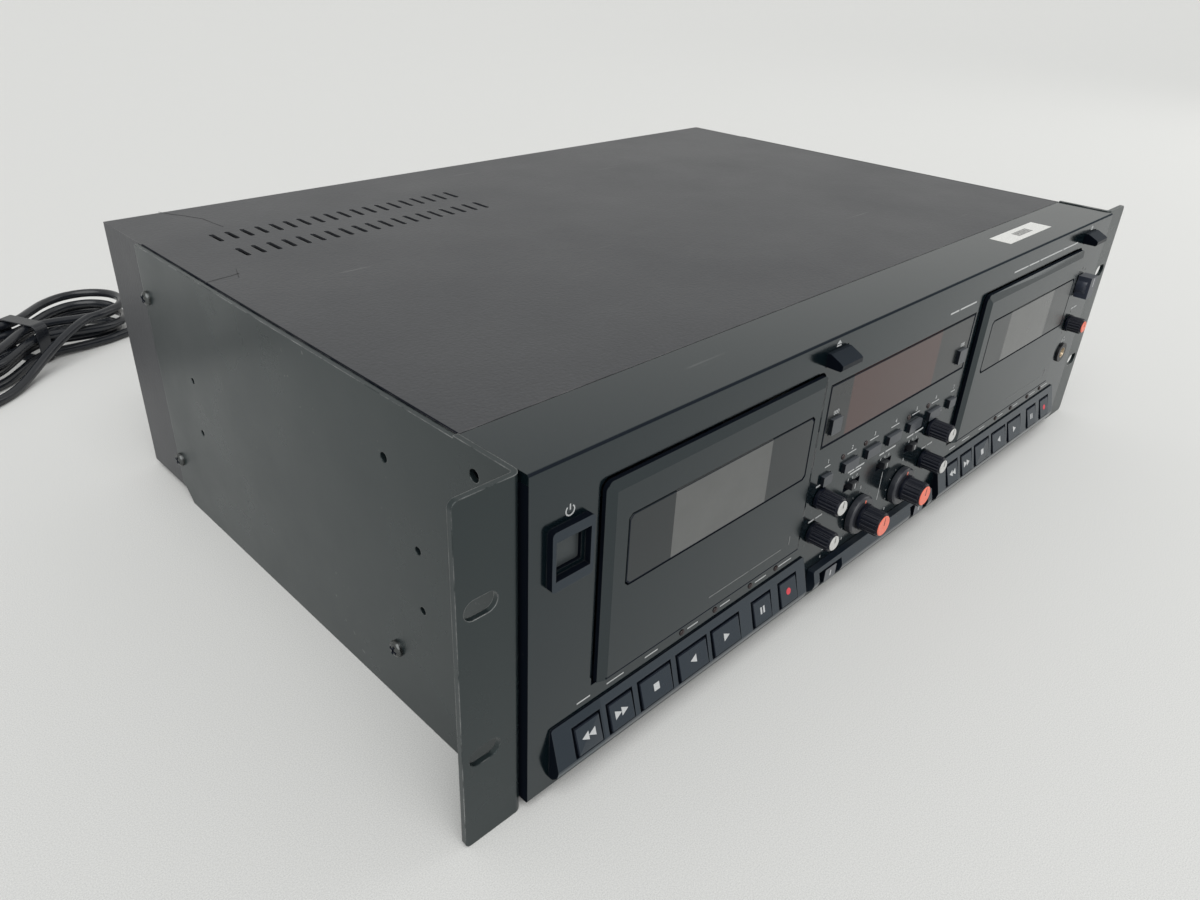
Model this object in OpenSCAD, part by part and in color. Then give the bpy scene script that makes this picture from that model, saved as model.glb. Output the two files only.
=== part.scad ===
// Double cassette deck for a 19 inch rack, three units high, with its mains cord.
// Frame: X to the right, Y to the back, Z up. The deck stands on its two rack brackets at z = 0.
// The front is laid out from the ear plane, where the brackets meet the rack.

/* [Rack brackets] */
// Width over both ears
rack_w = 482.6; // [476:0.1:490]
// Height of the brackets
bracket_h = 132.5; // [131:0.1:140]
// Thickness of the bracket plate
bracket_t = 2; // [1.5:0.1:2.5]
// Length of the bracket from the ear plane to its rear edge
bracket_l = 261; // [200:1:290]
// Inner radius of the bend between plate and ear
bend_r = 1; // [0.5:0.1:2]
// Radius of the ear's corners
ear_r = 2.5; // [1:0.5:5]
// Cut across the bracket's lower rear corner
bracket_cut = 9; // [4:1:20]
// Distance between the slots across the rack
slot_dx = 465.1; // [462:0.1:467]
// Distance between the slots of one ear
slot_dz = 57.15; // [50:0.05:80]
// Width of a slot
slot_w = 7; // [5:0.1:8]
// Length of a slot
slot_l = 12; // [9:0.1:13]

/* [Housing] */
// Width of the cover
body_w = 435; // [430:1:440]
// Depth of the housing behind the ear plane
body_d = 303; // [300:1:340]
// Height of the housing above its own underside
body_h = 129; // [127.5:0.1:130]
// Gap from the surface below to the housing
stand_gap = 3; // [2:0.1:5]
// Thickness of the cover's sheet
cover_t = 1.2; // [0.8:0.1:2]
// Thickness of the chassis sheet
tray_t = 1.2; // [0.8:0.1:2]
// Height of the tray's side flanges
tray_lip = 24; // [10:1:60]
// Seam between front panel and cover
seam = 0.5; // [0.1:0.1:1]
// Slots in one row of vents
vent_n = 19; // [8:1:22]
// Distance from one vent slot to the next
vent_pitch = 7.3; // [6:0.1:8]
// Length of a vent slot
vent_l = 13; // [8:0.5:18]
// Width of a vent slot
vent_w = 2.4; // [1.5:0.1:3]
// Place of the first vent slot across the deck
vent_x = -187.7; // [-195:0.1:-170]
// Place of the front vent row behind the ear plane
vent_y = 222; // [150:1:240]
// Distance between the vent rows
vent_dy = 26; // [22:1:40]

/* [Front panel] */
// How far the panel stands ahead of the ear plane
panel_proud = 2; // [1:0.1:4]
// Thickness of the panel's front wall
panel_t = 3; // [2.5:0.1:4]
// Thickness of the panel's flanges
flange_t = 2; // [1.5:0.1:3]
// Depth of the panel's flanges behind the ear plane
flange_d = 28.3; // [26:0.1:34]
// Radius of the panel's long front edges
edge_r = 1; // [0.5:0.5:4]
// Free space between the panel and a bracket
side_gap = 0.5; // [0.2:0.1:1]

/* [Cassette doors] */
// Centre of the left deck across the panel
deck_x = -129; // [-132:0.5:-126]
// Distance between the two decks
deck_dx = 252; // [246:0.5:256]
// Width of the opening for a door
door_open_w = 120; // [117:0.5:121]
// Lower edge of the opening
door_open_z = 38.5; // [38:0.1:41]
// Height of the opening
door_open_h = 80.8; // [78:0.1:81]
// Gap beside and above a door
door_gap = 1; // [0.6:0.1:1.5]
// Gap under a door, which its lower edge swings through
door_low_gap = 1.7; // [1.5:0.1:2]
// How far a door stands ahead of the panel
door_proud = 3; // [2:0.1:4]
// Thickness of a door's plate
door_t = 3; // [2.8:0.1:4]
// Width of the bevel round a door
bevel_w = 3.6; // [1:0.1:5]
// Depth of the bevel round a door
bevel_d = 1.4; // [0.5:0.1:2]
// Radius of a door's upper corners
door_r = 4; // [2:0.5:6]
// Width of a door's window
pane_w = 101; // [80:0.5:104]
// Height of a door's window
pane_h = 27.4; // [20:0.1:36]
// Lower edge of a door's window
pane_z = 76.6; // [70:0.1:80]
// Place of the window's centre from the deck's centre
pane_dx = 1; // [-3:0.5:3]
// Thickness of a door's window
pane_t = 1.6; // [1:0.1:2]
// Ledge that the window sits on
pane_ledge = 2.5; // [1.5:0.1:4]
// Groove round a window
pane_gap = 0.5; // [0.2:0.05:0.8]
// Radius of a door's hinge pins
hinge_r = 1.25; // [0.8:0.05:1.5]
// Height of the hinge line above the lower edge of the opening
hinge_up = 4; // [3.6:0.1:4.5]
// Place of the hinge line behind the ear plane
hinge_y = 0.5; // [0.3:0.1:0.8]
// Width of a compact cassette
tape_w = 100.4; // [100:0.1:102]
// Depth of the pocket for a cassette
pocket_d = 13; // [12:0.1:14]
// Height of the pocket's guide rails
guide_h = 58; // [40:1:64]
// Wall of the cassette pocket
guide_t = 1.6; // [1.2:0.1:2.4]
// Distance between the two reel spindles
reel_dx = 42.5; // [42:0.1:43]
// Height of the spindles above the shelf of the pocket
reel_up = 29.5; // [28:0.5:32]

/* [Transport keys] */
// Left end of the left key bar
bar_x = -207.5; // [-209:0.5:-206]
// Distance between the two key bars
bar_dx = 264; // [262:0.5:266]
// Length of a key bar
bar_l = 145; // [143:0.5:146]
// Upper edge of a key bar
bar_top = 30.7; // [28:0.1:32]
// Lower edge of a key bar
bar_low = 8; // [7:0.1:9]
// How far a key bar stands out at its upper edge
bar_lip = 0.7; // [0.4:0.1:1.5]
// How far a key bar stands out at its nose
bar_out = 4.9; // [4:0.1:8]
// Height of the bar's nose
bar_nose = 14.5; // [13:0.1:15]
// Radius of a key bar's corners
bar_corner = 1; // [0.5:0.5:4]
// Width of a narrow key
key_w = 13.4; // [12:0.1:14]
// Width of a wide key
key_wide = 18.2; // [16:0.1:18.4]
// Lower edge of the keys
key_low = 14.7; // [14.5:0.1:18]
// Upper edge of the keys
key_top = 26.9; // [24:0.1:28]
// How far a key stands ahead of its bar
key_proud = 0.4; // [0.2:0.1:1]
// Gap round a transport key in its bar
bar_key_gap = 0.9; // [0.4:0.1:1.2]
// Gap round a button
key_gap = 0.3; // [0.2:0.05:0.5]
// Upper edge of the bar between the decks
mid_top = 20.5; // [19:0.1:22]
// Left end of the bar between the decks
mid_x = -56; // [-58:0.5:-54]
// Length of the bar between the decks
mid_l = 106; // [104:0.5:108]

/* [Buttons] */
// Travel of keys and small buttons
press = 1.2; // [0.8:0.1:1.5]
// How far small buttons stand out
button_out = 1.5; // [1:0.1:3]
// Height of the function buttons
func_h = 4.6; // [4:0.1:6]
// Width of the wide function buttons
func_w = 11; // [9:0.1:13]
// Width of the narrow function buttons
func_slim = 6.5; // [5:0.1:8]
// Height of the row of function buttons
func_z = 66.3; // [66:0.1:68]
// Side of a counter reset button
reset_w = 7; // [5:0.1:8]
// Width of an eject button
eject_w = 14; // [10:0.1:16]
// Height of an eject button
eject_h = 5.6; // [4:0.1:6]
// Centre height of the eject buttons
eject_z = 124; // [123.5:0.1:125]
// Place of an eject button from its deck's centre
eject_dx = 65; // [60:0.5:66]
// How far an eject button stands out
eject_out = 7; // [4:0.1:9]
// Width of the frame round the power button
bezel_w = 17; // [16:0.1:18]
// Height of the frame round the power button
bezel_h = 21.5; // [18:0.1:24]
// How far that frame stands out
bezel_out = 2.5; // [1:0.1:4]
// Centre of the power button across the panel
power_x = -201.5; // [-203:0.1:-200]
// Centre height of the power button
power_z = 100.2; // [95:0.1:105]
// Side of the power button
power_w = 10; // [8:0.1:12]

/* [Knobs and switches] */
// Radius of the small knobs
knob_r = 4.9; // [4.5:0.1:6.2]
// Radius of the monitor selector
selector_r = 5.6; // [4.5:0.1:6.2]
// How far the small knobs stand out
knob_out = 11; // [8:0.1:14]
// Radius of the level rings
ring_r = 9.5; // [8:0.1:11]
// How far the level rings stand out
ring_out = 3.8; // [3:0.1:9]
// Chamfer round the front of a level ring
ring_chamfer = 0.8; // [0.4:0.1:1.2]
// Radius of the level knobs
level_r = 6.4; // [5:0.1:8]
// How far the level knobs stand out
level_out = 14; // [12:0.1:18]
// Radius of the flutes of a knob
flute_r = 0.7; // [0.4:0.1:0.9]
// Radius of a knob's shaft
shaft_r = 2.5; // [2:0.1:3]
// Running clearance of a shaft in its bore
run = 0.05; // [0.02:0.01:0.08]
// Free space between a knob and the panel
float_gap = 0.4; // [0.3:0.1:0.8]
// Length of the slots for the slide switches
slide_l = 13; // [11:0.1:14]
// Height of the slots for the slide switches
slide_h = 4; // [3:0.1:5]
// Length of a slide switch's lever
lever_l = 4.4; // [3:0.1:5.5]
// How far a slide switch's lever stands out
lever_out = 2; // [1:0.1:3]
// Length of the levers in the bar between the decks
toggle_l = 9; // [7:0.1:10]

/* [Display window] */
// Left edge of the display window
glass_x = -64; // [-66:0.5:-63]
// Width of the display window
glass_w = 122.5; // [120:0.5:124]
// Lower edge of the display window
glass_z = 83; // [82:0.1:84]
// Height of the display window
glass_h = 28.5; // [26:0.1:30]
// Thickness of the display window
glass_t = 1.8; // [1.2:0.1:2]

/* [Sockets] */
// Bore radius of the headphone socket
jack_r = 3.2; // [3:0.05:3.3]
// Depth of the headphone socket behind the ear plane
jack_l = 20; // [16:0.5:26]
// Width of a strip of line sockets
strip_w = 40; // [34:1:44]
// Height of a strip of line sockets
strip_h = 44; // [38:1:50]
// Thickness of a strip of line sockets
strip_t = 1.5; // [1:0.1:2]
// Lower edge of the strips of line sockets
strip_z = 40; // [34:1:60]
// Distance between the line sockets of a strip, across
socket_dx = 20; // [14:1:24]
// Distance between the line sockets of a strip, upwards
socket_dz = 22; // [14:1:28]
// How far the rear sockets stand out
socket_out = 9; // [6:0.5:12]
// Radius of a rear line socket
socket_r = 4.1; // [3.5:0.1:4.5]

/* [Mechanisms and boards] */
// Width of a mechanism's plate
mech_w = 124; // [116:1:126]
// Radius of a mechanism's motor
motor_r = 15; // [12:0.5:16]
// Length of a mechanism's motor
motor_l = 24; // [18:1:30]
// Radius of a flywheel
flywheel_r = 19; // [16:0.5:20]
// Thickness of a flywheel
flywheel_t = 8; // [5:0.5:10]
// Width of the main board
main_w = 270; // [220:5:280]
// Depth of the main board
main_d = 190; // [150:5:200]
// Height of the posts under the main board
post_h = 8; // [5:0.5:12]
// Radius of those posts
post_r = 4; // [3:0.5:6]
// Width of the transformer's core
core_w = 56; // [50:1:60]
// Depth of the transformer's core
core_d = 66; // [56:1:72]
// Height of the transformer's core
core_h = 62; // [50:1:70]
// How far the winding stands out of the core
winding = 10; // [6:0.5:12]

/* [Mains cord] */
// Diameter of the cord
cord_d = 5.6; // [4:0.1:6]
// Length of the strain relief boot
boot_l = 34; // [20:1:60]
// Radius of the boot where it leaves the rear wall
boot_r = 6; // [5:0.1:8]
// Half length of the hank, at the middle of its innermost loop
hank_h = 66; // [60:1:76]
// Half width of the innermost loop at the waist
hank_waist = 6.5; // [6:0.1:10]
// Swell of the loops towards the ends of the hank
hank_swell = 40; // [34:1:46]
// Share by which the runs are drawn in, which rounds the folds
hank_round = 0.3; // [0.2:0.02:0.34]
// Loops of the hank, each a layer of its own
hank_loops = 4; // [2:1:4]
// Turn of the hank on the floor, in degrees
hank_turn = 25; // [20:1:30]
// Step outwards of every other loop
hank_step = 6.5; // [6.4:0.1:8]
// Thickness of the tie round the waist
tie_t = 0.9; // [0.5:0.1:2]
// Width of the tie
tie_w = 9; // [5:0.5:14]

/* [Hidden] */
$fn = 48;
eps = 0.02;

// Places measured from the ear plane
front_y = -panel_proud;
wall_back = front_y + panel_t;
panel_w = body_w - 2 * side_gap;
house_top = stand_gap + body_h;
panel_low = stand_gap + 0.3;
panel_floor = panel_low + flange_t;
front_reach = panel_proud + level_out;
rear_reach = body_d + socket_out;
ear_y = (front_reach - rear_reach) / 2;
cover_y = flange_d + seam;
flange_behind = 0.2;
collar = 0.8;
collar_t = 1.6;
stem_end = 7;
plate_y = pocket_d - panel_proud - door_proud + door_t + 1.5;
plate_t = 1.5;
board_y = stem_end + press + 0.8;
board_t = 1.6;

decks = [deck_x, deck_x + deck_dx];
bars = [bar_x, bar_x + bar_dx];
hinge_z = door_open_z + hinge_up;
door_low = door_open_z + door_low_gap;
door_top = door_open_z + door_open_h - door_gap;
door_w = door_open_w - 2 * door_gap;
door_front = front_y - door_proud;
door_back = door_front + door_t;
pocket_w = tape_w + 2;
shelf_z = hinge_z + 2;
pocket_back = door_back + pocket_d;
reel_z = shelf_z + reel_up;
reel_tip = door_back + 6;

// Keys from left to right: start, measured from the bar's left end, and width
key_places = [
    [8.3, key_w], [24.4, key_w], [40.3, key_wide], [61.1, key_wide],
    [81.3, key_wide], [107.1, key_w], [125.3, key_w]
];
// Function buttons: centre and width
func_places = [
    [-55.4, func_slim], [-37, func_w], [-18.8, func_w], [-0.8, func_w],
    [17.8, func_w], [36.2, func_w], [53.7, func_slim]
];
reset_places = [[-56.5, 92], [51.5, 91.5]];
slide_places = [-31.5, -4.4, 21];
slide_z = 54;
small_knobs = [[-57.5, 58.2], [-58.5, 41.3], [38, 58.2], [37, 41.2]];
level_knobs = [[-21.7, 35], [15.7, 35]];
selector_at = [194, 95.5];
phones_at = [195.5, 72];
jack_at = [199, 52.5];
strip_places = [60, 130];
main_at = [-15, 175];
core_at = [168, 243];
toggle_places = [-43, 37];
toggle_slot = 18;
toggle_z = 14.6;
toggle_h = 6.4;
toggle_back = front_y - 1;

// Everything is drawn from the ear plane and moved into the deck's own frame
module placed() {
    translate([0, ear_y, 0])
        children();
}

// Flat outline in X and Z, drawn from y0 to y1
module front_on(y0, y1) {
    translate([0, y1, 0])
        rotate([90, 0, 0])
            linear_extrude(y1 - y0)
                children();
}

// Flat outline in Y and Z, drawn from x0 to x1
module across(x0, x1) {
    translate([x0, 0, 0])
        rotate([90, 0, 90])
            linear_extrude(x1 - x0)
                children();
}

// Solid of revolution whose axis points to the front at [x, z], height zero at y
module facing(at, y) {
    translate([at[0], y, at[1]])
        rotate([90, 0, 0])
            children();
}

module box(x0, x1, y0, y1, z0, z1) {
    translate([x0, y0, z0])
        cube([x1 - x0, y1 - y0, z1 - z0]);
}

module round_rect(w, h, r) {
    square([w - 2 * r, h], center = true);
    square([w, h - 2 * r], center = true);
    for (sx = [-1, 1])
        for (sy = [-1, 1])
            translate([sx * (w / 2 - r), sy * (h / 2 - r)])
                circle(r);
}

module slot_shape(l, w) {
    square([l - w, w], center = true);
    for (s = [-1, 1])
        translate([s * (l - w) / 2, 0])
            circle(w / 2);
}

// Rectangle whose upper corners alone are round
module arched(w, h, r) {
    round_rect(w, h, r);
    translate([0, -h / 4])
        square([w, h / 2], center = true);
}

// Front of a key bar at a given height
function bar_face(z) =
    front_y - bar_lip - (bar_out - bar_lip) * (bar_top - z) / (bar_top - bar_nose);

// Section of a bar: slope, nose and an underside that curls back to the panel
module bar_profile(top) {
    polygon([
        [front_y + eps, top],
        [bar_face(top), top],
        [front_y - bar_out, bar_nose],
        [front_y - 0.98 * bar_out, bar_nose - 1],
        [front_y - 0.85 * bar_out, bar_nose - 3.2],
        [front_y - 0.45 * bar_out, bar_low + 1.2],
        [front_y + eps, bar_low]
    ]);
}

// Bar whose corners are rounded as seen from the front
module rounded_bar(x, long, top) {
    intersection() {
        across(x, x + long)
            bar_profile(top);
        front_on(front_y - bar_out - 1, wall_back)
            translate([x + long / 2, (bar_low + top) / 2])
                round_rect(long, top - bar_low, bar_corner);
    }
}

// Rack brackets

module bracket_plan() {
    outer_r = bend_r + bracket_t;
    ear_w = (rack_w - body_w) / 2;
    translate([0, outer_r])
        square([bracket_t, bracket_l - outer_r]);
    translate([outer_r, 0])
        square([ear_w - outer_r, bracket_t]);
    difference() {
        square(outer_r);
        translate([outer_r, outer_r])
            circle(bend_r);
        difference() {
            square(outer_r);
            translate([outer_r, outer_r])
                circle(outer_r);
        }
    }
}

module bracket_left_blank() {
    intersection() {
        linear_extrude(bracket_h)
            translate([-body_w / 2, 0])
                mirror([1, 0])
                    bracket_plan();
        // Side view, with its cut lower rear corner and the step of the top edge
        across(-rack_w, 0)
            polygon([
                [-1, 0],
                [bracket_l - bracket_cut, 0],
                [bracket_l + 1, bracket_cut + 1],
                [bracket_l + 1, bracket_h - 0.8],
                [flange_d, bracket_h - 0.8],
                [flange_d, bracket_h],
                [-1, bracket_h]
            ]);
        // Front view, with the ear's round corners
        front_on(-1, bracket_l + 1)
            translate([0, bracket_h / 2])
                round_rect(rack_w, bracket_h, ear_r);
    }
}

module bracket_left() {
    difference() {
        bracket_left_blank();
        for (s = [-1, 1])
            front_on(-1, bracket_t + 1)
                translate([-slot_dx / 2, bracket_h / 2 + s * slot_dz / 2])
                    slot_shape(slot_l, slot_w);
    }
}

// Small holes of the plate: [y, z, radius]
plate_holes = [
    [221.7, 79.3, 1.6], [221.8, 53, 1.6], [50.1, 80.2, 1.6],
    [49.5, 55.4, 1.6], [66.6, 108.4, 1.9], [18.7, bracket_h - 9.1, 2.2]
];

module bracket_drilled() {
    difference() {
        bracket_left();
        for (h = plate_holes)
            translate([-body_w / 2 - bracket_t - 1, h[0] * bracket_l / 261, h[1]])
                rotate([0, 90, 0])
                    cylinder(r = h[2], h = bracket_t + 2);
    }
}

module rack_brackets() {
    color([0.23, 0.25, 0.25])
        placed() {
            bracket_drilled();
            mirror([1, 0, 0])
                bracket_drilled();
        }
}

// Housing

module chassis() {
    in_w = body_w / 2 - cover_t;
    rear = body_d - tray_t;
    color([0.55, 0.56, 0.56])
        placed() {
            box(-in_w, in_w, cover_y, body_d, stand_gap, stand_gap + tray_t);
            box(-in_w, in_w, rear, body_d, stand_gap, house_top - cover_t);
            for (s = [-1, 1])
                translate([s * (in_w - tray_t / 2), 0, 0])
                    box(-tray_t / 2, tray_t / 2, cover_y, body_d, stand_gap, stand_gap + tray_lip);
        }
}

module top_cover() {
    half = body_w / 2;
    color([0.3, 0.31, 0.32])
        placed()
            difference() {
                union() {
                    box(-half, half, cover_y, body_d, house_top - cover_t, house_top);
                    for (s = [-1, 1])
                        translate([s * (half - cover_t / 2), 0, 0])
                            box(-cover_t / 2, cover_t / 2, cover_y, body_d, stand_gap, house_top);
                }
                for (row = [0, 1])
                    for (i = [0 : vent_n - 1])
                        translate([vent_x + i * vent_pitch, vent_y + row * vent_dy, house_top - cover_t - 1])
                            linear_extrude(cover_t + 2)
                                rotate(90)
                                    slot_shape(vent_l, vent_w);
            }
}

// Front panel with its key bars

module panel_section() {
    h = house_top - panel_low;
    difference() {
        union() {
            translate([front_y + edge_r, panel_low])
                square([flange_d - front_y - edge_r, h]);
            translate([front_y, panel_low + edge_r])
                square([edge_r + 1, h - 2 * edge_r]);
            for (z = [panel_low + edge_r, house_top - edge_r])
                translate([front_y + edge_r, z])
                    circle(edge_r);
        }
        translate([wall_back, panel_floor])
            square([flange_d - wall_back + 1, h - 2 * flange_t]);
    }
}

module key_holes() {
    for (b = bars)
        for (k = key_places)
            box(b + k[0], b + k[0] + k[1], front_y - bar_out - 2, wall_back + 1, key_low, key_top);
}

module door_openings() {
    for (x = decks)
        front_on(front_y - 1, wall_back + 1)
            translate([x, door_open_z + door_open_h / 2])
                arched(door_open_w, door_open_h, door_r);
}

// Bosses behind the panel that take a door's hinge pins
module hinge_bosses() {
    for (x = decks)
        for (s = [-1, 1])
            translate([x + s * (door_open_w / 2 + 2), 0, hinge_z])
                box(-2, 2, wall_back - eps, hinge_y + hinge_r + 2, -4, 4);
}

module hinge_bores() {
    for (x = decks)
        translate([x - door_open_w / 2 - 3, hinge_y, hinge_z])
            rotate([0, 90, 0])
                cylinder(r = hinge_r + run, h = door_open_w + 6);
}

module button_holes() {
    for (f = func_places)
        front_on(front_y - 1, wall_back + 1)
            translate([f[0], func_z])
                square([f[1] + 2 * key_gap, func_h + 2 * key_gap], center = true);
    for (x = decks)
        front_on(front_y - 1, wall_back + 1)
            translate([x + eject_dx, eject_z])
                square([eject_w + 2 * key_gap, eject_h + 2 * key_gap], center = true);
    front_on(front_y - bezel_out - 1, wall_back + 1)
        translate([power_x, power_z])
            square(power_w + 2 * key_gap, center = true);
    for (x = slide_places)
        front_on(front_y - 1, wall_back + 1)
            translate([x, slide_z])
                square([slide_l, slide_h], center = true);
    for (x = toggle_places) {
        front_on(front_y - bar_out - 1, toggle_back)
            translate([x, toggle_z])
                square([toggle_slot, toggle_h + 1.2], center = true);
        front_on(toggle_back - 1, wall_back + 1)
            translate([x, toggle_z])
                square([toggle_slot - 4, 3.4 + 2 * key_gap], center = true);
    }
}

module knob_bores() {
    for (k = concat(small_knobs, [selector_at, phones_at]))
        facing(k, wall_back + 1)
            cylinder(r = shaft_r + run, h = panel_t + 2);
    for (k = level_knobs)
        facing(k, wall_back + 1)
            cylinder(r = shaft_r + 1.5 + run, h = panel_t + 2);
    facing(jack_at, wall_back + 1)
        cylinder(r = jack_r + 1.4 + run, h = panel_t + 2);
}

module glass_seat() {
    box(glass_x, glass_x + glass_w, front_y - 1, front_y + glass_t, glass_z, glass_z + glass_h);
    box(glass_x + 2, glass_x + glass_w - 2, front_y, wall_back + 1, glass_z + 2, glass_z + glass_h - 2);
}

// Frame round the power button, with a wider mouth than the button's own hole
module power_bezel() {
    difference() {
        front_on(front_y - bezel_out, front_y + eps)
            translate([power_x, power_z])
                round_rect(bezel_w, bezel_h, 1.5);
        front_on(front_y - bezel_out - 1, front_y + 1)
            translate([power_x, power_z])
                square(power_w + 4, center = true);
    }
}

module front_panel() {
    half = panel_w / 2;
    color([0.22, 0.24, 0.24])
        placed()
            difference() {
                union() {
                    across(-half, half)
                        panel_section();
                    for (s = [-1, 1])
                        translate([s * (half - flange_t / 2), 0, 0])
                            box(-flange_t / 2, flange_t / 2, 0, flange_d,
                                panel_floor - eps, house_top - flange_t + eps);
                    for (b = bars)
                        rounded_bar(b, bar_l, bar_top);
                    rounded_bar(mid_x, mid_l, mid_top);
                    hinge_bosses();
                    power_bezel();
                }
                key_holes();
                door_openings();
                hinge_bores();
                button_holes();
                knob_bores();
                glass_seat();
            }
}

module display_window() {
    color([0.3, 0.16, 0.15])
        placed()
            difference() {
                box(glass_x + pane_gap, glass_x + glass_w - pane_gap, front_y, front_y + glass_t,
                    glass_z + pane_gap, glass_z + glass_h - pane_gap);
                for (p = reset_places)
                    front_on(front_y - 1, front_y + glass_t + 1)
                        translate(p)
                            square(reset_w + 2 * key_gap, center = true);
            }
}

// Cassette doors

// Plate with bevels at both sides and at the top
module door_plate() {
    half = door_w / 2;
    intersection() {
        across(-half, half)
            polygon([
                [door_back, door_low],
                [door_front, door_low],
                [door_front, door_top - bevel_w],
                [door_front + bevel_d, door_top],
                [door_back, door_top]
            ]);
        translate([0, 0, door_low])
            linear_extrude(door_top - door_low)
                polygon([
                    [-half, door_back],
                    [-half, door_front + bevel_d],
                    [-half + bevel_w, door_front],
                    [half - bevel_w, door_front],
                    [half, door_front + bevel_d],
                    [half, door_back]
                ]);
        front_on(door_front - 1, door_back + 1)
            translate([0, (door_low + door_top) / 2])
                arched(door_w, door_top - door_low, door_r - door_gap);
    }
}

module pane_shape(grow) {
    w = pane_w / 2 + grow;
    h = pane_h / 2 + grow;
    c = 1.5;
    polygon([
        [-w, -h + c], [-w + c, -h], [w - c, -h], [w, -h + c],
        [w, h - c], [w - c, h], [-w + c, h], [-w, h - c]
    ]);
}

// Guide rails and shelf that hold the cassette behind the door
module tape_pocket() {
    in = pocket_w / 2;
    out = in + guide_t;
    for (s = [-1, 1])
        mirror([s < 0 ? 1 : 0, 0, 0]) {
            box(in, out, door_back - eps, pocket_back, shelf_z - guide_t, shelf_z + guide_h);
            box(in - 4.5, in + eps, pocket_back - guide_t, pocket_back, shelf_z - guide_t, shelf_z + guide_h);
            box(out - eps, door_w / 2 - 0.6, door_back - eps, hinge_y + hinge_r + 1.2,
                door_low + 0.6, hinge_z + 4);
            translate([out, hinge_y, hinge_z])
                rotate([0, 90, 0])
                    cylinder(r = hinge_r, h = door_open_w / 2 + 2.6 - out);
        }
    difference() {
        box(-out, out, door_back - eps, pocket_back, shelf_z - guide_t, shelf_z);
        box(-in + 14, in - 14, door_back + 5, pocket_back + 1, shelf_z - guide_t - 1, shelf_z + 1);
    }
    // Catch of the door
    box(-4, 4, door_back - eps, door_back + 6, door_top - 6, door_top - 4);
}

module cassette_door(i) {
    color([0.24, 0.26, 0.26])
        placed()
            translate([decks[i], 0, 0]) {
                difference() {
                    door_plate();
                    front_on(door_front - 1, door_front + pane_t)
                        translate([pane_dx, pane_z + pane_h / 2])
                            pane_shape(pane_gap / 2);
                    front_on(door_front, door_back + 1)
                        translate([pane_dx, pane_z + pane_h / 2])
                            pane_shape(-pane_ledge);
                }
                tape_pocket();
            }
}

module door_window(i) {
    color([0.4, 0.41, 0.41])
        placed()
            translate([decks[i] + pane_dx, 0, 0])
                front_on(door_front, door_front + pane_t)
                    translate([0, pane_z + pane_h / 2])
                        pane_shape(-pane_gap / 2);
}

// Tape mechanisms behind the doors

module reel_spindle(deck, side) {
    hub_r = 3.4;
    fin_r = 4.6;
    base = plate_y - 0.4;
    color([0.85, 0.85, 0.83])
        placed()
            facing([decks[deck] + side * reel_dx / 2, reel_z], plate_y + plate_t + 4) {
                cylinder(r = shaft_r, h = plate_t + 4.7);
                translate([0, 0, plate_t + 4.4])
                    cylinder(r = 7, h = 1);
                translate([0, 0, plate_t + 4.9])
                    cylinder(r = hub_r, h = base - reel_tip - 2.5);
                translate([0, 0, plate_t + 4.4 + base - reel_tip - 2])
                    cylinder(r1 = hub_r, r2 = 1.6, h = 2);
                // Fins stand clear of the line where the round faces close
                for (a = [60, 180, 300])
                    rotate(a)
                        translate([hub_r - 1, -0.5, plate_t + 5.1])
                            cube([fin_r - hub_r + 1, 1, base - reel_tip - 3.7]);
            }
}

module tape_mechanism(i) {
    half = mech_w / 2;
    translate([decks[i], 0, 0])
        difference() {
            union() {
                box(-half, half, plate_y, plate_y + plate_t, panel_floor, door_top + 2);
                // Folded foot
                box(-half, half, plate_y, flange_d - 1, panel_floor, panel_floor + plate_t);
                // Head bridge, drawn back below the pocket
                box(-24, 24, plate_y - 7, plate_y + eps, hinge_z - 9, hinge_z - 1.5);
                // Motor and flywheels
                facing([34, reel_z + 20], plate_y + plate_t + motor_l)
                    cylinder(r = motor_r, h = motor_l + eps);
                for (s = [-1, 1])
                    facing([s * reel_dx / 2, reel_z - 30], plate_y + plate_t + flywheel_t)
                        cylinder(r = flywheel_r, h = flywheel_t + eps);
            }
            for (s = [-1, 1])
                facing([s * reel_dx / 2, reel_z], plate_y + plate_t + 1)
                    cylinder(r = shaft_r + run, h = plate_t + 2);
        }
}

module tape_mechanisms() {
    color([0.6, 0.6, 0.58])
        placed()
            for (i = [0, 1])
                tape_mechanism(i);
}

// Boards, transformer and display module

module electronics() {
    floor_z = stand_gap + tray_t;
    color([0.15, 0.35, 0.22])
        placed() {
            // Control board behind the panel, with the display module on it
            box(glass_x + 4, glass_x + glass_w - 4.5, board_y, board_y + board_t,
                panel_floor, glass_z + glass_h + 8);
            box(glass_x + 18, glass_x + 90, front_y + glass_t + 1.2, board_y + eps,
                glass_z + 3, glass_z + glass_h - 3);
            // Main board on four posts near its corners
            translate([main_at[0], main_at[1], floor_z]) {
                box(-main_w / 2, main_w / 2, -main_d / 2, main_d / 2, post_h, post_h + board_t);
                for (x = [-1, 1])
                    for (y = [-1, 1])
                        translate([x * (main_w / 2 - 2.5 * post_r), y * (main_d / 2 - 2.5 * post_r), 0])
                            cylinder(r = post_r, h = post_h + eps);
            }
            // Transformer: core, and the winding that stands out of it
            translate([core_at[0], core_at[1], floor_z]) {
                box(-core_w / 2, core_w / 2, -core_d / 2, core_d / 2, 0, core_h);
                box(-core_w / 2 + 8, core_w / 2 - 8, -core_d / 2 - winding, core_d / 2 + winding,
                    8, core_h - 8);
            }
        }
}

// Sockets

module line_socket(x, z) {
    translate([x, body_d, z])
        rotate([-90, 0, 0])
            difference() {
                cylinder(r = socket_r, h = socket_out);
                translate([0, 0, 2])
                    cylinder(r = 1.5, h = socket_out);
            }
}

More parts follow.
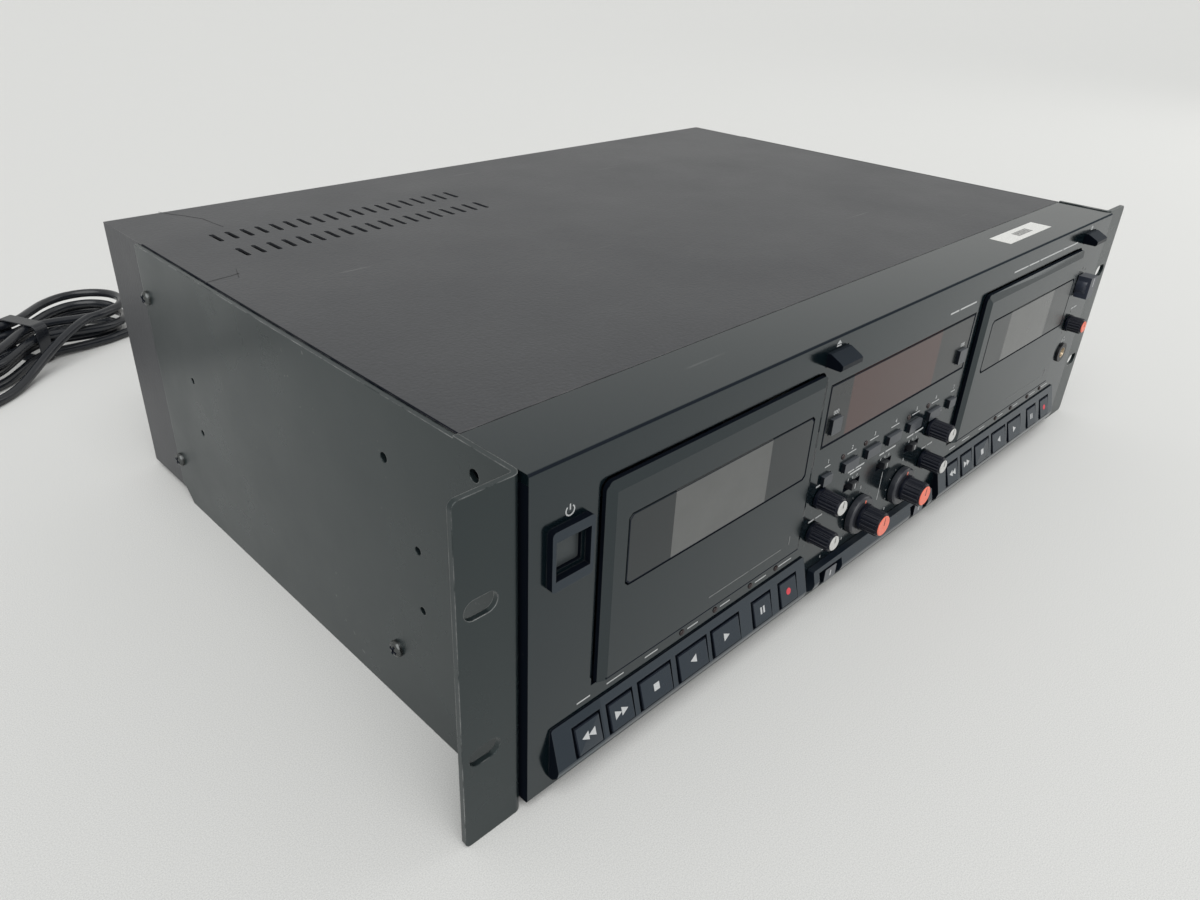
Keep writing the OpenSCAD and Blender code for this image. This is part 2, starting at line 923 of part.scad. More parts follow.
module sockets() {
    color([0.12, 0.12, 0.12])
        placed() {
            // Headphone socket with its nut
            difference() {
                union() {
                    facing(jack_at, jack_l)
                        cylinder(r = jack_r + 1.4, h = jack_l - front_y + 1);
                    facing(jack_at, front_y)
                        cylinder(r = jack_r + 2.6, h = 1.2);
                    facing(jack_at, jack_l)
                        cylinder(r = jack_r + 3, h = jack_l - wall_back);
                }
                facing(jack_at, jack_l - 2)
                    cylinder(r = jack_r, h = jack_l + 20);
            }
            // Line sockets on two strips of the rear wall
            for (x = strip_places) {
                translate([x, 0, strip_z])
                    box(-strip_w / 2, strip_w / 2, body_d, body_d + strip_t, 0, strip_h);
                for (i = [-0.5, 0.5])
                    for (j = [-0.5, 0.5])
                        line_socket(x + i * socket_dx, strip_z + strip_h / 2 + j * socket_dz);
            }
        }
}

// Keys and buttons

// Sloped key in a bar, with a collar behind the panel that keeps it in
module transport_key(deck, n) {
    b = bars[deck] + key_places[n][0];
    w = key_places[n][1];
    color([0.18, 0.2, 0.24])
        placed() {
            across(b + bar_key_gap, b + w - bar_key_gap)
                polygon([
                    [bar_face(key_top) - key_proud, key_top - bar_key_gap],
                    [bar_face(key_low) - key_proud, key_low + bar_key_gap],
                    [stem_end, key_low + bar_key_gap],
                    [stem_end, key_top - bar_key_gap]
                ]);
            box(b - collar, b + w + collar, wall_back + flange_behind, wall_back + flange_behind + collar_t,
                key_low - collar, key_top + collar);
        }
}

// Flat button in the panel or in the window, with a collar behind it
module push_button(at, w, h, seat) {
    color([0.2, 0.22, 0.25])
        placed() {
            front_on(front_y - button_out, stem_end)
                translate(at)
                    round_rect(w, h, 0.6);
            front_on(seat + flange_behind, seat + flange_behind + collar_t)
                translate(at)
                    square([w + 2 * key_gap + 1.2, h + 2 * key_gap + 1.2], center = true);
        }
}

module function_button(n) {
    push_button([func_places[n][0], func_z], func_places[n][1], func_h, wall_back);
}

module counter_reset(n) {
    push_button(reset_places[n], reset_w, reset_w, front_y + glass_t);
}

module eject_button(deck) {
    x = decks[deck] + eject_dx;
    z0 = eject_z - eject_h / 2;
    z1 = eject_z + eject_h / 2;
    tip = front_y - eject_out;
    color([0.12, 0.13, 0.14])
        placed() {
            across(x - eject_w / 2, x + eject_w / 2)
                polygon([
                    [front_y - 1.5, z1],
                    [tip + 1, z1 - 2.2],
                    [tip, z1 - 3],
                    [tip, z0 + 0.8],
                    [tip + 0.8, z0],
                    [stem_end, z0],
                    [stem_end, z1]
                ]);
            front_on(wall_back + flange_behind, wall_back + flange_behind + collar_t)
                translate([x, eject_z])
                    square([eject_w + 2, eject_h + 1.8], center = true);
        }
}

module power_button() {
    color([0.16, 0.18, 0.19])
        placed() {
            front_on(front_y + 1, stem_end + 8)
                translate([power_x, power_z])
                    round_rect(power_w, power_w, 0.8);
            front_on(wall_back + flange_behind, wall_back + flange_behind + collar_t)
                translate([power_x, power_z])
                    square(power_w + 2.4, center = true);
        }
}

// Knobs

// Fluted knob of radius r between two heights above the panel: skirt, grip and cap
module fluted(r, low, high, flutes) {
    skirt = 1.4;
    cap = 0.7;
    grip_r = r - 0.5;
    translate([0, 0, low])
        cylinder(r = r, h = skirt);
    translate([0, 0, low + skirt])
        linear_extrude(high - low - skirt - cap)
            difference() {
                circle(grip_r);
                for (i = [0 : flutes - 1])
                    rotate(i * 360 / flutes)
                        translate([grip_r + 0.25, 0])
                            circle(flute_r);
            }
    translate([0, 0, high - cap])
        cylinder(r1 = grip_r - 0.5, r2 = grip_r - 1, h = cap);
}

module small_knob(at, out) {
    color([0.13, 0.13, 0.14])
        placed()
            facing(at, front_y) {
                fluted(knob_r, float_gap, out, 18);
                translate([0, 0, -stem_end + front_y])
                    cylinder(r = shaft_r, h = stem_end - front_y + 1);
            }
}

module level_ring(n) {
    color([0.13, 0.13, 0.14])
        placed()
            facing(level_knobs[n], front_y)
                difference() {
                    union() {
                        translate([0, 0, float_gap])
                            cylinder(r = ring_r, h = ring_out - ring_chamfer - float_gap);
                        translate([0, 0, ring_out - ring_chamfer])
                            cylinder(r1 = ring_r, r2 = ring_r - ring_chamfer, h = ring_chamfer);
                        translate([0, 0, -stem_end + 2])
                            cylinder(r = shaft_r + 1.5, h = stem_end);
                    }
                    translate([0, 0, -stem_end])
                        cylinder(r = shaft_r + run, h = stem_end + ring_out + 2);
                }
}

module level_knob(n) {
    color([0.9, 0.45, 0.38])
        placed()
            facing(level_knobs[n], front_y) {
                fluted(level_r, ring_out + float_gap, level_out, 18);
                translate([0, 0, -stem_end])
                    cylinder(r = shaft_r, h = stem_end + ring_out + 1);
            }
}

module monitor_selector() {
    reach = 7.5;
    color([0.13, 0.13, 0.14])
        placed()
            facing(selector_at, front_y) {
                translate([0, 0, float_gap])
                    cylinder(r = selector_r, h = reach - 2);
                translate([0, 0, reach / 2 + float_gap / 2])
                    cube([2 * selector_r - 2.4, 2 * selector_r + 1, reach - float_gap], center = true);
                translate([0, 0, -stem_end + front_y])
                    cylinder(r = shaft_r, h = stem_end - front_y + 1);
            }
}

// Slide switches

module slide_switch(n) {
    x = slide_places[n];
    color([0.1, 0.1, 0.11])
        placed() {
            front_on(front_y - lever_out, wall_back + flange_behind + 1)
                translate([x, slide_z])
                    square([lever_l, slide_h - 2 * key_gap], center = true);
            front_on(wall_back + flange_behind, wall_back + flange_behind + 1)
                translate([x, slide_z])
                    square([slide_l + 5, slide_h + 1.6], center = true);
        }
}

module bar_switch(n) {
    x = toggle_places[n];
    color([0.1, 0.1, 0.11])
        placed() {
            front_on(front_y - bar_out + 0.5, toggle_back - key_gap)
                translate([x, toggle_z])
                    round_rect(toggle_l, toggle_h, 0.8);
            front_on(toggle_back - key_gap - 1, wall_back + 3)
                translate([x, toggle_z])
                    square([4, 3.4], center = true);
        }
}

// Mains cord

function along(p, i) =
    i == 0 ? p[1] - p[0]
    : i == len(p) - 1 ? p[i] - p[i - 1]
    : (p[i + 1] - p[i]) / norm(p[i + 1] - p[i]) + (p[i] - p[i - 1]) / norm(p[i] - p[i - 1]);
function unit(v) = v / norm(v);

// Ring of sides points round a route point, square to the route
function ring(p, i, r, sides) =
    let (t = unit(along(p, i)), a = unit(cross(t, [0, 0, 1])), b = cross(a, t))
    [for (k = [0 : sides - 1]) p[i] + r * (cos(k * 360 / sides) * a + sin(k * 360 / sides) * b)];

// Closed tube with triangles, radius r[i] at each route point
module tube(p, r, sides) {
    n = len(p);
    pts = concat(
        [for (i = [0 : n - 1]) each ring(p, i, r[i], sides)],
        [p[0], p[n - 1]]
    );
    side = [
        for (i = [0 : n - 2])
            for (k = [0 : sides - 1])
                let (j = (k + 1) % sides, q = i * sides)
                each [[q + k, q + j, q + sides + k], [q + j, q + sides + j, q + sides + k]]
    ];
    caps = [
        for (k = [0 : sides - 1])
            let (j = (k + 1) % sides, q = (n - 1) * sides)
            each [[n * sides, j, k], [n * sides + 1, q + k, q + j]]
    ];
    polyhedron(points = pts, faces = concat(side, caps), convexity = 10);
}

cord_r = cord_d / 2;
hank_at = [-225, 490];
cord_low = cord_r + 0.1;
layer_step = cord_d + 0.6;
tie_room = 0.4;
hank_lift = tie_t + tie_room;
rings_a_loop = 24;

// Inner loop, drawn in at the waist, and the way out from it
function loop_at(a) = let (c = cos(a), s = sin(a))
    [hank_h * c * (1 - hank_round * s * s), s * (hank_waist + hank_swell * c * c)];
function loop_dir(a) = let (c = cos(a), s = sin(a)) [
    -hank_h * s * (1 - hank_round * s * s + 2 * hank_round * c * c),
    c * (hank_waist + hank_swell * c * c) - 2 * hank_swell * c * s * s
];
function loop_out(a) = let (d = unit(loop_dir(a))) [d[1], -d[0]];
function smooth(u) = let (c = min(1, max(0, u))) c * c * (3 - 2 * c);
function total(v) = [for (x = v) 1] * v;

// Place on the floor of a point of the hank, with its second number counted to the front
function laid(q) = [
    q[0] * cos(hank_turn) + q[1] * sin(hank_turn),
    q[0] * sin(hank_turn) - q[1] * cos(hank_turn)
];
function on_floor(u, front, z) = let (q = laid([u, front])) [hank_at[0] + q[0], hank_at[1] + q[1], z];

// Each loop lies on the one below it, stepped out or in, and climbs at the start of its run
start_angle = 43;
climb_turn = 0.26;
function stepped(t) = hank_step * abs(t - 2 * floor(t / 2) - 1);
function climb(t) = layer_step * total([for (j = [1 : hank_loops - 1]) smooth((t - j) / climb_turn + 0.5)]);
function hank_point(t) =
    let (a = start_angle + 360 * t, q = loop_at(a) + stepped(t) * loop_out(a), s = sin(a))
    on_floor(q[0], q[1], cord_low + hank_lift * s * s * s * s + climb(t));

hank_n = hank_loops * rings_a_loop;
hank_core = [for (i = [0 : hank_n]) hank_point(i / rings_a_loop)];
run_dir = unit(concat(laid(loop_dir(start_angle)), 0));
hank_route = concat(
    [hank_core[0] - cord_d * run_dir],
    hank_core,
    [hank_core[hank_n] + cord_d * run_dir]
);

// Least gap of the hank to itself, measured on points between its rings
function between(p, i, u) = p[i] * (1 - u) + p[i + 1] * u;
hank_fine = [for (i = [0 : hank_n - 1]) for (u = [0, 0.5]) between(hank_core, i, u)];
hank_gap = min([
    for (i = [0 : len(hank_fine) - 1])
        for (j = [i + 12 : 1 : len(hank_fine) - 1])
            norm(hank_fine[i] - hank_fine[j])
]) - cord_d;
echo(hank_gap = hank_gap);

function route_length(p) = len(p) < 2 ? 0 : [for (i = 0, s = 0; i < len(p);
    s = s + (i + 1 < len(p) ? norm(p[i + 1] - p[i]) : 0), i = i + 1) s][len(p) - 1];

outlet = [-185, 30];
boot_end = body_d + boot_l;
lead_end = hank_route[0];
// Free stretch from the rear wall to the hank, from the ear plane
lead_route = concat(
    [[outlet[0], body_d, outlet[1]], [outlet[0], body_d + 6, outlet[1]],
     [outlet[0], boot_end, outlet[1]], [outlet[0], boot_end + cord_d, outlet[1]]],
    [[-184.3, 354, 28.2], [-181.8, 364.5, 24.2], [-177.2, 374.5, 18.8], [-168.5, 384.2, 12.8],
     [-159.2, 394.6, 8], [-149.8, 404.9, 4.8], [-140.4, 415.3, 3.2], [-131.1, 425.7, cord_low],
     [-121.7, 436.1, cord_low], [-113.6, 445.7, cord_low], [-107.7, 455.5, cord_low],
     [-105.8, 466.8, cord_low], [-108.4, 477.9, cord_low], [-114.9, 487.3, cord_low],
     [-124.4, 493.6, cord_low], [-134.6, 495.9, cord_low], [-145, 494.5, cord_low]],
    [lead_end - cord_d * run_dir, lead_end]
);
lead_radii = [
    for (i = [0 : len(lead_route) - 1])
        i < 2 ? boot_r : i == 2 ? cord_r + 0.9 : cord_r
];

plug_w = 26;
plug_t = 15;
plug_l = 34;
plug_at = [-350, 424];
tail_start = hank_route[len(hank_route) - 1];
hank_top = tail_start[2];
// Free stretch from the hank to the plug
tail_route = concat(
    [tail_start, tail_start + cord_d * run_dir],
    [on_floor(19, 24.6, hank_top - 1.8), on_floor(8, 25.4, hank_top - 5), on_floor(-3, 26.6, hank_top * 0.6),
     on_floor(-14, 28.6, hank_top * 0.42), on_floor(-25, 31.6, hank_top * 0.27), on_floor(-36, 35.4, 3.8),
     on_floor(-47, 38.8, cord_low), on_floor(-59, 40.8, cord_low), on_floor(-71, 41, cord_low)],
    [[-289, 421.5, cord_low], [-301, 422, cord_low], [-313, 423, 3.6], [-323, 423.7, 5.2], [-331, 424, 6.8]],
    [[plug_at[0] + 2 * cord_d, plug_at[1], plug_t / 2], [plug_at[0] + cord_d, plug_at[1], plug_t / 2],
     [plug_at[0], plug_at[1], plug_t / 2]]
);
echo(cord_length = route_length(lead_route) + route_length(hank_route) + route_length(tail_route));

// Both free stretches: from the rear wall to the hank, and from the hank to the plug
module cord_lead() {
    color([0.05, 0.05, 0.06])
        placed() {
            tube(lead_route, lead_radii, 8);
            tube(tail_route, [for (p = tail_route) cord_r], 8);
        }
}

module cord_hank() {
    out_y = hank_waist + hank_step + cord_r + tie_room;
    top = hank_lift + cord_low + cord_r + (hank_loops - 1) * layer_step + tie_room;
    low = hank_lift + cord_low - cord_r - tie_room;
    color([0.05, 0.05, 0.06])
        placed() {
            tube(hank_route, [for (p = hank_route) cord_r], 6);
            // Tie round the waist
            translate([hank_at[0], hank_at[1], 0])
                rotate(hank_turn)
                    across(-tie_w / 2, tie_w / 2)
                        translate([0, (top + low) / 2])
                            difference() {
                                round_rect(2 * (out_y + tie_t), top - low + 2 * tie_t,
                                    cord_r + tie_room + tie_t);
                                round_rect(2 * out_y, top - low, cord_r + tie_room);
                            }
        }
}

module plug() {
    pin_dx = 12.7;
    pin_t = 1.5;
    pin_h = 6.4;
    pin_l = 17;
    color([0.07, 0.07, 0.08])
        placed()
            translate([plug_at[0], plug_at[1], 0]) {
                translate([-plug_l / 2, 0, 0])
                    linear_extrude(plug_t)
                        round_rect(plug_l, plug_w, 5);
                for (s = [-1, 1])
                    translate([-plug_l - pin_l, s * pin_dx / 2 - pin_t / 2, plug_t / 2 - pin_h / 2])
                        cube([pin_l + 1, pin_t, pin_h]);
            }
}

rack_brackets();
chassis();
top_cover();
front_panel();
display_window();
tape_mechanisms();
electronics();
sockets();
cassette_door(0);  // cassette_door_1
cassette_door(1);  // cassette_door_2
door_window(0);  // door_window_1
door_window(1);  // door_window_2
reel_spindle(0, -1);  // reel_spindle_1a
reel_spindle(0, 1);  // reel_spindle_1b
reel_spindle(1, -1);  // reel_spindle_2a
reel_spindle(1, 1);  // reel_spindle_2b
power_button();
eject_button(0);  // eject_button_1
eject_button(1);  // eject_button_2
transport_key(0, 0);  // rewind_key_1
transport_key(0, 1);  // fast_forward_key_1
transport_key(0, 2);  // stop_key_1
transport_key(0, 3);  // reverse_play_key_1
transport_key(0, 4);  // play_key_1
transport_key(0, 5);  // pause_key_1
transport_key(0, 6);  // record_key_1
transport_key(1, 0);  // rewind_key_2
transport_key(1, 1);  // fast_forward_key_2
transport_key(1, 2);  // stop_key_2
transport_key(1, 3);  // reverse_play_key_2
transport_key(1, 4);  // play_key_2
transport_key(1, 5);  // pause_key_2
transport_key(1, 6);  // record_key_2
counter_reset(0);  // counter_reset_1
counter_reset(1);  // counter_reset_2
function_button(0);  // function_button_1
function_button(1);  // function_button_2
function_button(2);  // function_button_3
function_button(3);  // function_button_4
function_button(4);  // function_button_5
function_button(5);  // function_button_6
function_button(6);  // function_button_7
small_knob(small_knobs[0], knob_out);  // pitch_knob_1
small_knob(small_knobs[2], knob_out);  // pitch_knob_2
small_knob(small_knobs[1], knob_out);  // mix_knob_1
small_knob(small_knobs[3], knob_out);  // mix_knob_2
level_ring(0);  // level_ring_1
level_ring(1);  // level_ring_2
level_knob(0);  // level_knob_1
level_knob(1);  // level_knob_2
small_knob(phones_at, knob_out - 2);  // phones_knob
monitor_selector();
slide_switch(0);  // slide_switch_1
slide_switch(1);  // slide_switch_2
slide_switch(2);  // slide_switch_3
bar_switch(0);  // bar_switch_1
bar_switch(1);  // bar_switch_2
cord_lead();
cord_hank();
plug();
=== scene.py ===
# %% [markdown]
# # A double cassette deck, dressed over its imported solids
#
# The solids of the deck come in from the imported model.
# This lesson gives them their finishes and adds what the solids leave out: print, lamps,
# screws, knob caps and the mains cord. Everything is in metres, in the deck's own frame:
# X to the right, Y to the back and Z up, with the brackets standing on z = 0.

# %% Load the imported deck
import bpy
import bmesh
import math
from mathutils import Matrix, Vector


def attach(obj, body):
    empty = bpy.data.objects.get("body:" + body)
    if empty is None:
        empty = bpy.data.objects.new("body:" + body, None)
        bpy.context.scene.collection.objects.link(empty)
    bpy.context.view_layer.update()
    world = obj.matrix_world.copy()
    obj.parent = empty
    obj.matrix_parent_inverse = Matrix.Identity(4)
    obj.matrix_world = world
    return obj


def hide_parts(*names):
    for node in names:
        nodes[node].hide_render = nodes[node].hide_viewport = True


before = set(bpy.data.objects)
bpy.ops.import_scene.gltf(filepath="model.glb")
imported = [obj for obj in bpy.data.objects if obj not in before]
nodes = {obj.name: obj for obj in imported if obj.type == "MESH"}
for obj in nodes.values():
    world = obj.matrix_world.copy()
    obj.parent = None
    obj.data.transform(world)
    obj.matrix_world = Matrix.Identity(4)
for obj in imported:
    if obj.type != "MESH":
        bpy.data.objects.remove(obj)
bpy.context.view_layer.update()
scene = bpy.context.scene
scene.view_settings.view_transform = "Standard"

# %% [markdown]
# ## Where things are
#
# The front is measured in millimetres from the ear plane, as the deck's drawing is, so a
# small helper turns those numbers into points of the frame. The main planes of the front
# get names here, because the print, the lamps and the caps all sit on one of them.

# %% Planes of the front
MM = 0.001
EAR_Y = -148.0
PANEL_Y = -2.0
DOOR_Y = -5.0
DECK_X = (-129.0, 123.0)
BAR_X = (-207.5, 56.5)
RIGHT, BACK, UP = Vector((1, 0, 0)), Vector((0, 1, 0)), Vector((0, 0, 1))
FRONT = Vector((0, -1, 0))


def at(x, y, z):
    """Point of the frame from millimetres, with y counted from the ear plane."""
    return Vector((x * MM, (EAR_Y + y) * MM, z * MM))


print("panel plane at y =", round(at(0, PANEL_Y, 0).y, 4))

# %% [markdown]
# ## Camera
#
# The picture was taken with a wide lens from the front left, above the deck and with a
# slight roll. A camera can be set by angles, but a fitted camera is known by its three
# axes, so its matrix is written from them directly. The small shift puts the lens axis
# where the fit found it.

# %% Camera
CAM_AT = at(-354.19, -159.33, 258.84)
CAM_AHEAD = Vector((0.621, 0.61352, -0.48781)).normalized()
CAM_UP = Vector((0.318, 0.37164, 0.87222))
LENS_MM = 27.387
SENSOR_MM = 36.0
SHIFT = (0.0098, -0.0052)
CLIP_START = 0.01

cam_data = bpy.data.cameras.new("camera")
cam_data.lens = LENS_MM
cam_data.sensor_width = SENSOR_MM
cam_data.sensor_fit = "HORIZONTAL"
cam_data.shift_x, cam_data.shift_y = SHIFT
cam_data.clip_start = CLIP_START
cam_data.dof.use_dof = False
camera = bpy.data.objects.new("camera", cam_data)
scene.collection.objects.link(camera)
cam_right = CAM_AHEAD.cross(CAM_UP).normalized()
cam_up = cam_right.cross(CAM_AHEAD).normalized()
turn = Matrix((cam_right, cam_up, -CAM_AHEAD)).transposed()
camera.matrix_world = Matrix.Translation(CAM_AT) @ turn.to_4x4()
scene.camera = camera
print("camera at", [round(v, 3) for v in CAM_AT])

# %% [markdown]
# ## A kit for node trees
#
# The world and every material are made of nodes. A few short functions add a node, link it
# and do sums with it, so that the cells below read as what they make.

# %% Add a node, link it, do sums with it


def link(tree, a, b):
    tree.links.new(a, b)


def add_node(tree, kind, **values):
    """New node, with its properties and its input values set by name."""
    made = tree.nodes.new(kind)
    inputs = values.pop("inputs", {})
    for key, value in values.items():
        setattr(made, key, value)
    for key, value in inputs.items():
        made.inputs[key].default_value = value
    return made


def math_node(tree, operation, a, b=None):
    made = add_node(tree, "ShaderNodeMath", operation=operation)
    for socket, value in zip(made.inputs, (a, b)):
        if value is None:
            continue
        if isinstance(value, (int, float)):
            socket.default_value = value
        else:
            link(tree, value, socket)
    return made.outputs[0]


print("node helpers:", link.__name__, add_node.__name__, math_node.__name__)

# %% [markdown]
# ## Floor and light
#
# The deck stands on a pale floor in soft light. The dark faces get nearly all their tone from
# the floor that their gloss reflects, so the floor has to be as bright as in the picture.
# A wide sun from the front left lights the part of it that the camera sees, the world fills
# the shadows, and a soft lamp on the right gives the knobs a highlight. The camera, gloss and
# clear panes see a world of the floor's own tone, so its far edge doesn't show as a line.

# %% World
FLOOR_COLOUR = (0.69, 0.69, 0.67, 1)
WORLD_COLOUR, WORLD_LIGHT = (0.97, 0.985, 1.0, 1), 0.48
world = bpy.data.worlds.new("studio")
scene.world = world
world.use_nodes = True
sky = world.node_tree
rays = add_node(sky, "ShaderNodeLightPath").outputs
mirrored = math_node(sky, "MAXIMUM", rays["Is Glossy Ray"], rays["Is Transmission Ray"])
seen = math_node(sky, "MAXIMUM", rays["Is Camera Ray"], mirrored)
lit = sky.nodes["Background"]
lit.inputs["Color"].default_value = WORLD_COLOUR
lit.inputs["Strength"].default_value = WORLD_LIGHT
shown = add_node(sky, "ShaderNodeBackground", inputs={"Color": FLOOR_COLOUR})
either = add_node(sky, "ShaderNodeMixShader")
sources = (seen, lit.outputs["Background"], shown.outputs["Background"])
for socket, source in zip(either.inputs, sources):
    link(sky, source, socket)
link(sky, either.outputs["Shader"], sky.nodes["World Output"].inputs["Surface"])
print("world light:", WORLD_LIGHT)

# %% [markdown]
# Soft light that comes mostly from one side needs a large source. One wide sun gives it
# evenly over the whole floor, where a near area lamp would fall off.

# %% Lamps and floor
LAMP_AT, LAMP_AHEAD, LAMP_WATTS = (1.6, -0.5, 0.9), (-1.6, 0.5, -0.85), 3.5
SUN_AHEAD, SUN_POWER, SUN_WIDTH = (0.42, 0.47, -0.78), 2.2, math.radians(70)
FLOOR_HALF = 30.0


def add_lamp(name, kind, where, ahead, **values):
    """New lamp that shines from a place along a direction."""
    data = bpy.data.lights.new(name, kind)
    for key, value in values.items():
        setattr(data, key, value)
    lamp = bpy.data.objects.new(name, data)
    lamp.location = where
    lamp.rotation_euler = Vector(ahead).to_track_quat("-Z", "Y").to_euler()
    scene.collection.objects.link(lamp)


add_lamp("lamp_right", "AREA", LAMP_AT, LAMP_AHEAD, shape="RECTANGLE", size=1.0, size_y=1.2,
         energy=LAMP_WATTS, color=(1, 0.99, 0.97))
add_lamp("soft_sun", "SUN", (0, 0, 0), SUN_AHEAD, energy=SUN_POWER, angle=SUN_WIDTH)
corners = [(x * FLOOR_HALF, y * FLOOR_HALF, 0) for x, y in ((-1, -1), (1, -1), (1, 1), (-1, 1))]
floor_mesh = bpy.data.meshes.new("floor")
floor_mesh.from_pydata(corners, [], [(0, 1, 2, 3)])
floor = bpy.data.objects.new("floor", floor_mesh)
scene.collection.objects.link(floor)

# %% [markdown]
# ## Shared effects
#
# Paint and plastic share a few effects: a fine grain, edges rubbed bright, and the marks of
# years of handling. Each is a node group that is built once and placed in every material
# with its own numbers. Groups only give masks and heights; the shader stays in the material.

# %% Groups, ranges, products and noise


def new_group(name, inputs, outputs):
    """Empty node group with float inputs and outputs. Returns the tree and both ends."""
    tree = bpy.data.node_groups.new(name, "ShaderNodeTree")
    kind = "NodeSocketFloat"
    for label, default in inputs.items():
        socket = tree.interface.new_socket(name=label, in_out="INPUT", socket_type=kind)
        socket.default_value = default
    for label in outputs:
        tree.interface.new_socket(name=label, in_out="OUTPUT", socket_type=kind)
    return tree, tree.nodes.new("NodeGroupInput"), tree.nodes.new("NodeGroupOutput")


def remap(tree, value, low, high, to_low=0.0, to_high=1.0):
    """Map Range from low..high to to_low..to_high, clamped."""
    made = add_node(tree, "ShaderNodeMapRange", inputs={
        "From Min": low, "From Max": high, "To Min": to_low, "To Max": to_high})
    link(tree, value, made.inputs["Value"])
    return made.outputs["Result"]


def times(tree, a, b):
    return math_node(tree, "MULTIPLY", a, b)


def separate(tree, vector):
    """The X, Y and Z of a vector, by name."""
    made = add_node(tree, "ShaderNodeSeparateXYZ")
    link(tree, vector, made.inputs["Vector"])
    return made.outputs


def noise(tree, coords, scale, detail=3.0, rough=0.55):
    made = add_node(tree, "ShaderNodeTexNoise", inputs={"Detail": detail, "Roughness": rough})
    link(tree, coords, made.inputs["Vector"])
    if isinstance(scale, (int, float)):
        made.inputs["Scale"].default_value = scale
    else:
        link(tree, scale, made.inputs["Scale"])
    return made.outputs["Fac"]


print("group helpers:", new_group.__name__, remap.__name__, noise.__name__)

# %% [markdown]
# Moulded plastic and sprayed paint both have a fine grain. A noise and a cell pattern of the
# same scale give its height, and the noise alone a slight change of tone. Both use object
# coordinates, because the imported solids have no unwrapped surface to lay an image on.

# %% Group: grain of paint and moulded plastic
grain, g_in, g_out = new_group("surface_grain", {"Grains per metre": 1800.0}, ["Height", "Tone"])
g_coords = add_node(grain, "ShaderNodeTexCoord").outputs["Object"]
g_fine = noise(grain, g_coords, g_in.outputs["Grains per metre"], 2.0)
g_cell = add_node(grain, "ShaderNodeTexVoronoi", feature="F1")
link(grain, g_coords, g_cell.inputs["Vector"])
link(grain, g_in.outputs["Grains per metre"], g_cell.inputs["Scale"])
g_height = math_node(grain, "ADD", g_fine, times(grain, g_cell.outputs["Distance"], -0.6))
link(grain, g_height, g_out.inputs["Height"])
link(grain, remap(grain, g_fine, 0.3, 0.7), g_out.inputs["Tone"])
print("group:", grain.name)

# %% [markdown]
# Paint wears through along edges, in patches. The Bevel node gives a rounded normal, which
# differs from the true one only near an edge, so the dot product of the two gives a mask of
# edges that fits any shape. A noise breaks it into patches.

# %% Group: edges rubbed bright
rubbed, r_in, r_out = new_group("rubbed_edges", {"Width": 0.0008, "Amount": 0.5}, ["Mask"])
PATCHES = 60.0
r_bevel = add_node(rubbed, "ShaderNodeBevel", samples=6)
link(rubbed, r_in.outputs["Width"], r_bevel.inputs["Radius"])
r_dot = add_node(rubbed, "ShaderNodeVectorMath", operation="DOT_PRODUCT")
link(rubbed, r_bevel.outputs["Normal"], r_dot.inputs[0])
link(rubbed, add_node(rubbed, "ShaderNodeNewGeometry").outputs["Normal"], r_dot.inputs[1])
r_edge = remap(rubbed, r_dot.outputs["Value"], 0.985, 0.86)
r_coords = add_node(rubbed, "ShaderNodeTexCoord").outputs["Object"]
r_patch = remap(rubbed, noise(rubbed, r_coords, PATCHES, 6.0, 0.7), 0.42, 0.68)
r_mask = times(rubbed, times(rubbed, r_edge, r_patch), r_in.outputs["Amount"])
link(rubbed, r_mask, r_out.inputs["Mask"])
print("group:", rubbed.name)

# %% [markdown]
# A deck that has been in use has smudges that change its gloss, fine scratches that mostly
# run one way, and dust on what looks up. Each comes from a noise at a scale of its own.

# %% Group: marks of handling
handled, h_in, h_out = new_group("handling_marks", {"Scale": 14.0}, ["Smudge", "Scratch", "Dust"])
h_coords = add_node(handled, "ShaderNodeTexCoord").outputs["Object"]
h_smudge = remap(handled, noise(handled, h_coords, h_in.outputs["Scale"], 5.0, 0.62), 0.35, 0.72)
link(handled, h_smudge, h_out.inputs["Smudge"])
# Scratches: thin bands of a noise that is drawn out along one slanted line
h_map = add_node(handled, "ShaderNodeMapping", inputs={
    "Rotation": (0.5, 0.35, 0.6), "Scale": (14.0, 420.0, 420.0)})
link(handled, h_coords, h_map.inputs["Vector"])
h_line = noise(handled, h_map.outputs["Vector"], 1.0, 1.0)
h_where = remap(handled, noise(handled, h_coords, 22.0, 2.0), 0.56, 0.66)
h_scratch = times(handled, remap(handled, h_line, 0.725, 0.76), h_where)
link(handled, h_scratch, h_out.inputs["Scratch"])
# Dust lies on faces that look up
h_up = separate(handled, add_node(handled, "ShaderNodeNewGeometry").outputs["Normal"])["Z"]
h_specks = remap(handled, noise(handled, h_coords, 900.0, 4.0, 0.7), 0.6, 0.75)
link(handled, times(handled, remap(handled, h_up, 0.5, 0.95), h_specks), h_out.inputs["Dust"])
print("groups:", [g.name for g in bpy.data.node_groups])

# %% [markdown]
# ## Finishes
#
# Nearly every surface here is dark paint or dark plastic, so what tells them apart is their
# gloss, grain and wear. One function lays the shared effects over a plain colour, and each
# finish below is one call with its own numbers.

# %% One finish with grain, wear and handling


def mix_colour(tree, mask, a, b):
    """Mix of two colours by a mask; each is a colour or a socket."""
    made = add_node(tree, "ShaderNodeMix", data_type="RGBA")
    link(tree, mask, made.inputs["Factor"])
    for socket, value in ((made.inputs[6], a), (made.inputs[7], b)):
        if isinstance(value, (tuple, list)):
            socket.default_value = (*value, 1)
        else:
            link(tree, value, socket)
    return made.outputs[2]


MATTE, TONE_SPREAD, DUST_GREY = 0.95, 0.12, (0.42, 0.42, 0.4)


def shade(colour, factor):
    return tuple(c * factor for c in colour)


